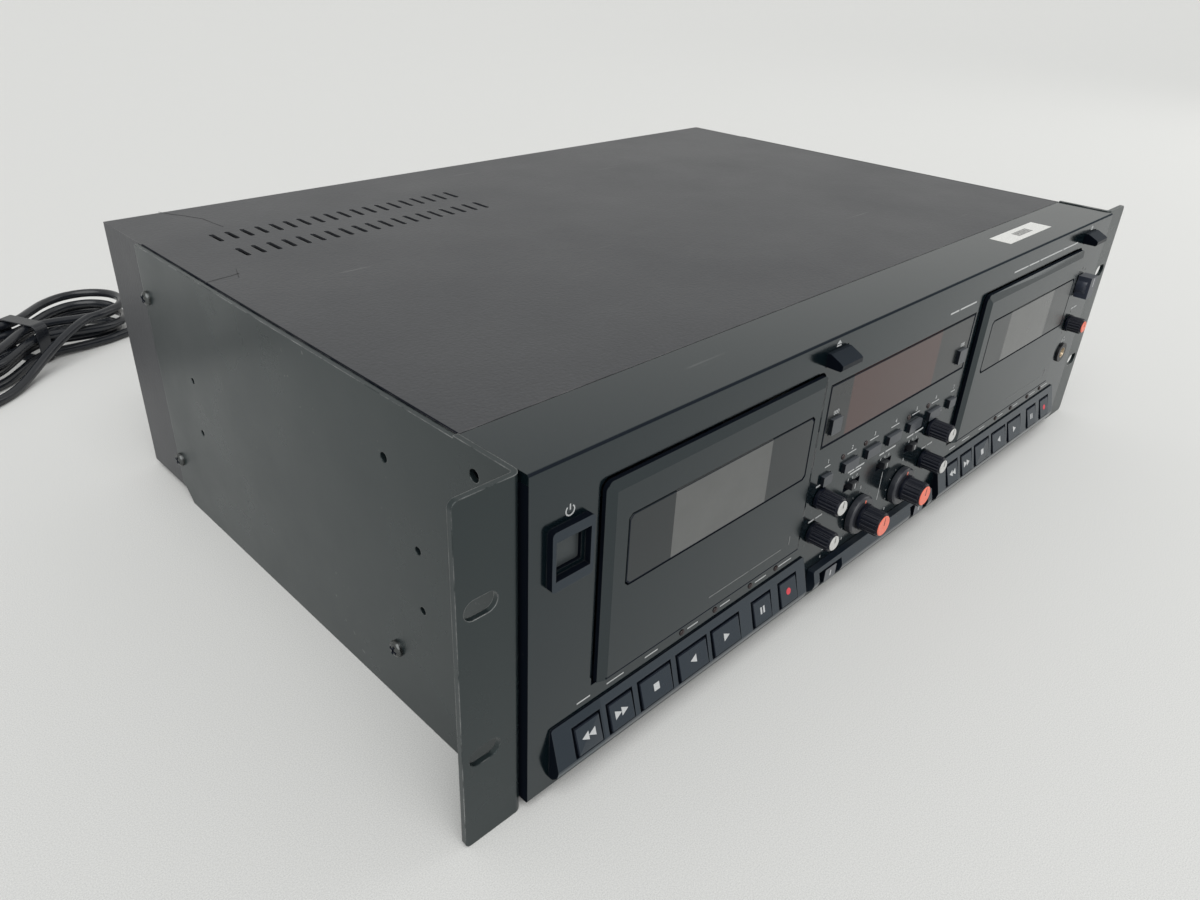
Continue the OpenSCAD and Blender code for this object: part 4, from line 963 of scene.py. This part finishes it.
KNOBS = {"pitch_knob_1": (-57.5, 58.2), "mix_knob_1": (-58.5, 41.3),
         "pitch_knob_2": (38.0, 58.2), "mix_knob_2": (37.0, 41.2)}
LEVELS = {1: (-21.7, 35.0), 2: (15.7, 35.0)}
PHONES_KNOB, SELECTOR = (195.5, 72.0), (194.0, 95.5)
LEVEL_FIGURE_R, LEVEL_FIGURE_H = 13.4, 1.5
for node, (x, z) in KNOBS.items():
    scale(f"{node}_scale", x, z, 6.2, 1.2, SWEEP, 3)
for number, (x, z) in LEVELS.items():
    scale(f"level_scale_{number}", x, z, 10.6, 1.2, SWEEP, 11)
    for mark, degrees in (("0", -SWEEP), ("5", 0), ("10", SWEEP)):
        a = math.radians(degrees)
        panel_figures(f"level_figure_{number}_{mark}", x + LEVEL_FIGURE_R * math.sin(a),
                      z + LEVEL_FIGURE_R * math.cos(a), mark, LEVEL_FIGURE_H)
scale("phones_scale", *PHONES_KNOB, 6.2, 1.2, SWEEP, 3)
scale("selector_scale", *SELECTOR, 8.6, 1.4, 30, 3)
on_panel("level_divider", -3.0, 41.5, [bar(0, 0, 0.3, 15.0)])
print("scales:", len(KNOBS) + len(LEVELS) + 2)

# %% [markdown]
# Each slide switch has a stroke on the panel for each of its places, and a pale line on the
# switch itself. The strokes stay with the deck, and the line rides with the switch.

# %% Marks of the slide switches
SLIDES, SLIDE_OUT = ((-31.5, 54.0), (-4.4, 54.0), (21.0, 54.0)), 2
BAR_SWITCHES, BAR_SWITCH_OUT = (-43.0, 37.0), 4.4
for i, (x, z) in enumerate(SLIDES):
    on_panel(f"slide_marks_{i + 1}", x, z + 3.6, [bar(dx, 0, 0.4, 1.2) for dx in (-3.5, 0, 3.5)])
for i, x in enumerate(BAR_SWITCHES):
    on_panel(f"switch_marks_{i + 1}", x, 23.0, [bar(dx, 0, 0.4, 1.2) for dx in (-4.0, 4.0)])
    ink(f"bar_switch_{i + 1}_line", front_face(x, PANEL_Y - BAR_SWITCH_OUT, 14.6),
        [bar(0, 0, 0.8, 2.8)], print_grey, f"bar_switch_{i + 1}")
for i, (x, z) in enumerate(SLIDES):
    ink(f"slide_switch_{i + 1}_line", front_face(x, PANEL_Y - SLIDE_OUT, z),
        [bar(0, 0, 0.5, 2.4)], print_grey, f"slide_switch_{i + 1}")
print("switches:", len(SLIDES) + len(BAR_SWITCHES))

# %% [markdown]
# ## Turned pieces
#
# Caps, lamp lenses, screw heads and the cord's boot are all round about an axis. A screw
# modifier could spin a profile, but a short loop over rings keeps both ends closed and puts
# the piece straight into the frame.

# %% Spin a profile about an axis


def turned(name, centre, axis, profile, material, body, steps=40):
    """Solid of revolution; profile is (radius, reach along the axis) in millimetres."""
    side = axis.orthogonal().normalized()
    other = axis.cross(side)
    made = bmesh.new()
    rings = []
    for radius, reach in profile:
        middle = centre + axis * reach * MM
        spokes = [2 * math.pi * k / steps for k in range(steps)] if radius else [0.0]
        rings.append([made.verts.new(
            middle + (side * math.cos(a) + other * math.sin(a)) * radius * MM) for a in spokes])
    for a, b in zip(rings, rings[1:]):
        for k in range(steps):
            j = (k + 1) % steps
            if len(a) == 1:
                made.faces.new((a[0], b[j], b[k]))
            elif len(b) == 1:
                made.faces.new((a[k], a[j], b[0]))
            else:
                made.faces.new((a[k], a[j], b[j], b[k]))
    piece = from_bmesh(name, made, material, body)
    for polygon in piece.data.polygons:
        polygon.use_smooth = True
    crisp = piece.modifiers.new("crisp", "EDGE_SPLIT")
    crisp.split_angle = math.radians(40)
    return piece


print("turned pieces face", list(FRONT), "on the front")

# %% [markdown]
# Each small knob has a light cap with a dark line, the level knobs and the phones knob have
# an orange one, and each level ring has an orange dot. A cap is a shallow pressed-in insert
# with a rounded rim.

# %% Caps and pointer marks


def cap(node, x, z, reach, radius, material):
    """Cap with a rounded rim on a knob's end, and its pointer line."""
    centre = at(x, PANEL_Y, z)
    turned(f"{node}_cap", centre, FRONT, [
        (0, reach - 0.3), (radius, reach - 0.3), (radius, reach + 0.25),
        (radius - 0.35, reach + 0.5), (radius - 0.9, reach + 0.45), (0, reach + 0.4)],
        material, node)
    face = Face(centre + FRONT * (reach + 0.42) * MM, RIGHT, UP)
    pointer = [bar(0, radius * 0.5, 0.36, radius * 0.9)]
    ink(f"{node}_line", face, pointer, print_dark, node)


for node, (x, z) in KNOBS.items():
    cap(node, x, z, 11.0, 3.3, cap_white)
for number, (x, z) in LEVELS.items():
    cap(f"level_knob_{number}", x, z, 14.0, 4.8, cap_orange)
    ink(f"level_ring_{number}_dot", front_face(x, PANEL_Y - 3.8, z), [bar(0, 7.55, 0.9, 1.5)],
        cap_orange, f"level_ring_{number}")
cap("phones_knob", *PHONES_KNOB, 9.0, 3.3, cap_orange)
ink("monitor_selector_line", front_face(SELECTOR[0], PANEL_Y - 7.5, SELECTOR[1]),
    [bar(0, 3.0, 0.9, 5.0)], print_grey, "monitor_selector")
print("caps:", len(KNOBS) + len(LEVELS) + 1)

# %% [markdown]
# The headphone socket has a brass sleeve in its bore, level with the nut. Its profile comes
# back to its first point, so it turns into a thin tube.

# %% Brass sleeve of the headphone socket
JACK = (199.0, 52.5)
turned("jack_sleeve", at(JACK[0], PANEL_Y, JACK[1]), FRONT, [
    (2.75, -9), (2.75, 1.0), (2.9, 1.25), (3.15, 1.25), (3.15, -9), (2.75, -9)],
    brass, "deck", steps=32)
print("sleeve at", JACK)

# %% [markdown]
# ## Lamps
#
# Small round lamps sit beside the marks of the play, pause and record keys and above some of
# the function buttons. They are off, so they show as dark lenses: a shallow dome in the panel.

# %% Lamps above keys and buttons
KEY_LAMP_X, BUTTON_LAMP_X = (-141.6, -122.1, -99.9, -82.6), (-43.5, -25.5, 11.5, 29.5)
BUTTON_LAMP_Z = 72.2
LENS = ((0, -0.1), (1.3, -0.1), (1.3, 0.15), (1.05, 0.45), (0.6, 0.65), (0, 0.72))
BAR_STEP = BAR_X[1] - BAR_X[0]
lamps = [(x + BAR_STEP * deck, LINE_Z) for deck in (0, 1) for x in KEY_LAMP_X]
lamps += [(x, BUTTON_LAMP_Z) for x in BUTTON_LAMP_X]
for i, (x, z) in enumerate(lamps):
    turned(f"lamp_{i + 1}", at(x, PANEL_Y, z), FRONT, LENS, lamp_lens, "deck",
           steps=20)
print("lamps:", len(lamps))

# %% [markdown]
# ## Screws
#
# Each bracket is held to the side by pan-head screws with a cross recess. The head is a
# turned dome. The recess is too small to show depth, so two bars of painted shade across the
# dome stand for it, since the recess lies in shade.

# %% Pan-head screws on the brackets
SCREWS, PLATE_X, TILT = ((257.4, 107.8), (257.1, 23.6), (67.9, 26.7)), 219.5, 0.35
HEAD = ((0, -0.1), (3.35, -0.1), (3.35, 0.7), (3.1, 1.4), (2.4, 1.95), (1.6, 2.2), (0, 2.3))


def cross_screw(name, foot, out, across, up, head, steps, lift, arm, wide, thick):
    """Screw head with a recess of painted shade, arm long and wide, a lift above its foot."""
    turned(name, foot, out, head, screw_steel, "deck", steps=steps)
    bars = [bar(0, 0, arm, wide), bar(0, 0, wide, arm)]
    face = Face(foot + out * lift * MM, across, up)
    ink(f"{name}_cross", face, bars, painted_shade_black, "deck", thick)


for sign, side in ((-1, "left"), (1, "right")):
    for i, (y, z) in enumerate(SCREWS):
        cross_screw(f"screw_{side}_{i + 1}", at(sign * PLATE_X, y, z), RIGHT * sign,
                    Vector((0, sign, TILT * sign)), Vector((0, -TILT, 1)),
                    HEAD, 28, 2.17, 4.0, 0.9, 0.16)
print("screws:", 2 * len(SCREWS))

# %% [markdown]
# ## Rear wall
#
# The photograph doesn't show the rear. A deck of this kind has small screws along the edges
# of its rear wall, a rating plate, here bare, and line sockets whose plated sleeves stand in
# rings of red and white, the usual colours of the right and the left channel.

# %% Screws, bare plate and socket rings at the rear
REAR_Y, REAR_TILT, SMALL = 303.0, 0.4, 0.8
SMALL_HEAD = [(r * SMALL, h * SMALL) for r, h in HEAD]
RING = ((4.05, -0.1), (6.2, -0.1), (6.2, 0.9), (5.8, 1.3), (4.05, 1.3), (4.05, -0.1))
SLEEVE = ((4.08, 1.2), (4.22, 1.2), (4.22, 7.2), (4.08, 7.4), (4.08, 1.2))
LINE_BLOCK_X, LINE_Z_MID, LINE_DX, LINE_DZ, LINE_OUT = (60, 130), 62, 10, 11, 1.5
rear_screws = [(x, z) for x in (-207, -70, 70, 207) for z in (10.0, 125.5)]
for i, (x, z) in enumerate(rear_screws):
    cross_screw(f"rear_screw_{i + 1}", at(x, REAR_Y, z), BACK, Vector((-1, 0, REAR_TILT)),
                Vector((REAR_TILT, 0, 1)), SMALL_HEAD, 24, 1.74, 3.2, 0.7, 0.13)
ink("rear_plate", Face(at(-60, REAR_Y, 80), -RIGHT, UP), [bar(0, 0, 62.0, 26.0)],
    zinc_plate, "deck", thick=0.25)
for x in LINE_BLOCK_X:
    for dx, column in ((-LINE_DX, "a"), (LINE_DX, "b")):
        for dz, ring_tone, side in ((LINE_DZ, cap_white, "white"), (-LINE_DZ, print_red, "red")):
            name = f"line_{x}_{column}_{side}"
            foot = at(x + dx, REAR_Y + LINE_OUT, LINE_Z_MID + dz)
            turned(f"{name}_ring", foot, BACK, RING, ring_tone, "deck", steps=32)
            turned(f"{name}_sleeve", foot, BACK, SLEEVE, plated_steel, "deck",
                   steps=32)
print("rear screws:", len(rear_screws), "line sockets: 8")

# %% [markdown]
# ## Cracks in the paint
#
# Near its left rear edge the cover's paint has cracked along a few short wandering lines.
# Each is drawn as thin dark quads from point to point, a little wider and narrower by turns.

# %% Cracks near the left rear edge
CRACKS = (((-191.1, 304.6), (-187.5, 296.9), (-183.6, 290.2), (-179.4, 281.0),
           (-178.6, 270.7), (-177.6, 262.9)),
          ((-217.3, 193.8), (-211.0, 194.8), (-206.2, 195.3), (-202.0, 196.4)),
          ((-200.4, 202.3), (-204.2, 192.0)))
CRACK_HALF, CRACK_MORE = 0.14, 0.12
cover_top = Face(at(0, 0, 132.0), RIGHT, BACK)
for i, points in enumerate(CRACKS):
    quads = []
    for k in range(len(points) - 1):
        a, b = Vector(points[k]), Vector(points[k + 1])
        aside = (b - a).orthogonal().normalized()
        near, far = (CRACK_HALF + CRACK_MORE * ((k + j) % 2) for j in (0, 1))
        quads.append([tuple(p) for p in (a - aside * near, b - aside * far,
                                         b + aside * far, a + aside * near)])
    ink(f"cover_crack_{i + 1}", cover_top, quads, print_dark, "deck")
print("cracks:", len(CRACKS))

# %% [markdown]
# ## Sticker
#
# A small paper sticker lies on the top flange near the right deck. Its print is left off, apart
# from a block of plain bars.

# %% Blank sticker on the top flange
STICKER, STICKER_MM = (133.0, 14.5, 132.0), 0.12
sticker = Face(at(*STICKER), RIGHT, BACK)
ink("flange_sticker", sticker, [bar(0, 0, 50.0, 11.0)], paper, "deck", STICKER_MM)
bars = [bar(1 + 1.5 * k, 0, 0.6 + 0.3 * (k % 2), 4.6) for k in range(-5, 6)]
ink("sticker_bars", Face(sticker.point(0, 0, STICKER_MM), RIGHT, BACK), bars, print_dark, "deck",
    FILM_MM)
print("sticker at", STICKER)

# %% [markdown]
# ## Mains cord
#
# The cord leaves the rear wall through a tapered boot, drops to the floor and is tied into a
# hank: loops drawn in at the waist, each lying on the one below it. It follows the same rule
# as the solids do, so the curve lies inside them. One poly spline with a round bevel makes
# the cord, and the boot, tie and plug are pieces on it.

# %% Rule of the hank
CORD_D = 5.6
CORD_LOW = CORD_D / 2 + 0.1
HANK_AT = (-225.0, 490.0)
HANK_TURN = math.radians(25)
HANK_H, HANK_WAIST, HANK_SWELL, HANK_ROUND = 66.0, 6.5, 40.0, 0.3
HANK_LOOPS, HANK_STEP = 4, 6.5
LAYER_STEP = CORD_D + 0.6
HANK_LIFT = 1.3
START_ANGLE, CLIMB_TURN = 43.0, 0.26


def loop_parts(degrees):
    """Point of the inner loop, and its direction."""
    c, s = math.cos(math.radians(degrees)), math.sin(math.radians(degrees))
    half = HANK_WAIST + HANK_SWELL * c * c
    point = Vector((HANK_H * c * (1 - HANK_ROUND * s * s), s * half))
    along = -HANK_H * s * (1 - HANK_ROUND * s * s + 2 * HANK_ROUND * c * c)
    return point, Vector((along, c * half - 2 * HANK_SWELL * c * s * s)).normalized()


def laid(u, front):
    """Step on the floor from a step along the hank and one to its front."""
    c, s = math.cos(HANK_TURN), math.sin(HANK_TURN)
    return Vector((u * c + front * s, u * s - front * c, 0))


def on_floor(u, front, z):
    return Vector((*HANK_AT, z)) + laid(u, front)


def eased(u):
    u = min(1.0, max(0.0, u))
    return u * u * (3 - 2 * u)


def hank_point(turns):
    degrees = START_ANGLE + 360 * turns
    q, d = loop_parts(degrees)
    q = q + Vector((d.y, -d.x)) * HANK_STEP * abs(turns % 2 - 1)
    layers = sum(eased((turns - j) / CLIMB_TURN + 0.5) for j in range(1, HANK_LOOPS))
    lift = HANK_LIFT * math.sin(math.radians(degrees)) ** 4
    return on_floor(q.x, q.y, CORD_LOW + lift + LAYER_STEP * layers)


RINGS = 24
hank = [hank_point(i / RINGS) for i in range(HANK_LOOPS * RINGS + 1)]
print("hank points:", len(hank), "top at", round(hank[-1].z, 2))

# %% [markdown]
# From the boot the cord runs straight for a few diameters, sinks to the floor and swings
# round into the hank. From the last loop it comes down to the floor again and goes on to the
# plug. Its points are written down instead of simulated, so that it lies as its solid does.

# %% Route of the cord
BODY_D, BOOT_L = 303.0, 34.0
OUTLET = (-185.0, 30.0)
PLUG_AT = (-350.0, 424.0)
PLUG_MID = 7.5
run = laid(*loop_parts(START_ANGLE)[1]).normalized()
top = hank[-1].z
straight = (0, 6, BOOT_L, BOOT_L + CORD_D)
lead = [(OUTLET[0], BODY_D + out, OUTLET[1]) for out in straight]
lead += [(-184.3, 354, 28.2), (-181.8, 364.5, 24.2), (-177.2, 374.5, 18.8), (-168.5, 384.2, 12.8),
         (-159.2, 394.6, 8), (-149.8, 404.9, 4.8), (-140.4, 415.3, 3.2)]
lead += [(x, y, CORD_LOW) for x, y in (
    (-131.1, 425.7), (-121.7, 436.1), (-113.6, 445.7), (-107.7, 455.5), (-105.8, 466.8),
    (-108.4, 477.9), (-114.9, 487.3), (-124.4, 493.6), (-134.6, 495.9), (-145, 494.5))]
tail = [on_floor(*p) for p in (
    (19, 24.6, top - 1.8), (8, 25.4, top - 5), (-3, 26.6, top * 0.6), (-14, 28.6, top * 0.42),
    (-25, 31.6, top * 0.27), (-36, 35.4, 3.8), (-47, 38.8, CORD_LOW), (-59, 40.8, CORD_LOW),
    (-71, 41, CORD_LOW))]
tail += [(-289, 421.5, CORD_LOW), (-301, 422, CORD_LOW), (-313, 423, 3.6), (-323, 423.7, 5.2),
         (-331, 424, 6.8)]
tail += [(PLUG_AT[0] + out, PLUG_AT[1], PLUG_MID) for out in (2 * CORD_D, CORD_D, 0)]
route = [Vector(p) for p in lead]
route += [hank[0] - 2 * CORD_D * run, hank[0] - CORD_D * run] + hank
route += [hank[-1] + CORD_D * run, hank[-1] + 2 * CORD_D * run]
route += [Vector(p) for p in tail]
route = [at(*p) for p in route]
print("route points:", len(route))

# %% [markdown]
# The route's points are some way apart, so a smooth curve is drawn through them before the
# bevel: each gap is filled by a Catmull-Rom piece, which passes through every point.

# %% Cord as a smooth curve


def through(points, steps):
    """Catmull-Rom curve through the points, with a number of steps in each gap."""
    full = [2 * points[0] - points[1], *points, 2 * points[-1] - points[-2]]
    line = []
    for i in range(1, len(full) - 2):
        p0, p1, p2, p3 = full[i - 1:i + 3]
        for k in range(steps):
            t = k / steps
            line.append(0.5 * (2 * p1 + (p2 - p0) * t + (2 * p0 - 5 * p1 + 4 * p2 - p3) * t * t
                               + (3 * p1 - p0 - 3 * p2 + p3) * t ** 3))
    return line + [points[-1]]


line = through(route, 4)
curve = bpy.data.curves.new("mains_cord", "CURVE")
curve.dimensions = "3D"
curve.bevel_depth = CORD_D / 2 * MM
curve.bevel_resolution = 5
curve.use_fill_caps = True
spline = curve.splines.new("POLY")
spline.points.add(len(line) - 1)
for point, where in zip(spline.points, line):
    point.co = (*where, 1)
spline.use_smooth = True
curve.materials.append(cord_jacket)
cord = bpy.data.objects.new("mains_cord", curve)
scene.collection.objects.link(cord)
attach(cord, "deck")
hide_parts("cord_lead", "cord_hank")

# %% [markdown]
# The boot keeps the cord from being bent sharply at the wall. It is a tapered sleeve with
# ribs, and round, so its profile is turned like the caps and the screws.

# %% Strain relief boot
BOOT_R = 6.0
boot_profile = [(0, 0), (7.2, 0), (7.2, 1.8), (BOOT_R, 2.2)]
RIBS, RIB_STEP, BOOT_TIP_R = 7, 4.2, 3.7
for i in range(RIBS):
    y = 3.0 + i * RIB_STEP
    r = BOOT_R - (BOOT_R - BOOT_TIP_R) * y / BOOT_L
    boot_profile += [(r, y), (r, y + 2.6), (r - 0.7, y + 2.9), (r - 0.7, y + 3.9)]
boot_profile += [(BOOT_TIP_R, 32.6), (BOOT_TIP_R, BOOT_L), (2.9, BOOT_L + 0.3), (0, BOOT_L + 0.3)]
boot = turned("cord_boot", at(OUTLET[0], BODY_D, OUTLET[1]), BACK, boot_profile,
              plug_moulding, "deck", steps=32)
print("boot is", BOOT_L, "mm long")

# %% [markdown]
# The tie is a flat band round the hank's waist. Four rounded rings, two inside and two
# outside, are joined by faces, which gives both sides and both edges of the band at once.

# %% Tie round the hank
TIE_W, TIE_T, TIE_ROOM = 9.0, 0.9, 0.4
tie_half = HANK_WAIST + HANK_STEP + CORD_D / 2 + TIE_ROOM
tie_low = HANK_LIFT + CORD_LOW - CORD_D / 2 - TIE_ROOM
tie_top = HANK_LIFT + CORD_LOW + CORD_D / 2 + (HANK_LOOPS - 1) * LAYER_STEP + TIE_ROOM


def rounded(half, low, top, r, steps=6):
    """Rounded rectangle across the hank, as steps to the front and heights."""
    points = []
    for cy, cz, first in ((half - r, top - r, 0), (-half + r, top - r, 90),
                          (-half + r, low + r, 180), (half - r, low + r, 270)):
        for k in range(steps + 1):
            a = math.radians(first + 90 * k / steps)
            points.append((cy + r * math.cos(a), cz + r * math.sin(a)))
    return points


made = bmesh.new()
loops = []
for along, grow in ((-TIE_W / 2, 0), (TIE_W / 2, 0), (TIE_W / 2, TIE_T), (-TIE_W / 2, TIE_T)):
    ring = rounded(tie_half + grow, tie_low - grow, tie_top + grow, CORD_D / 2 + TIE_ROOM + grow)
    loops.append([made.verts.new(at(*on_floor(along, front, z))) for front, z in ring])
for a, b in zip(loops, loops[1:] + loops[:1]):
    for k in range(len(a)):
        j = (k + 1) % len(a)
        made.faces.new((a[k], a[j], b[j], b[k]))
tie = from_bmesh("cord_tie", made, cord_jacket, "deck")
soften(tie, 0.3)
print("tie is", round(tie_top - tie_low, 1), "mm high inside")

# %% [markdown]

print("cord, boot and tie made")
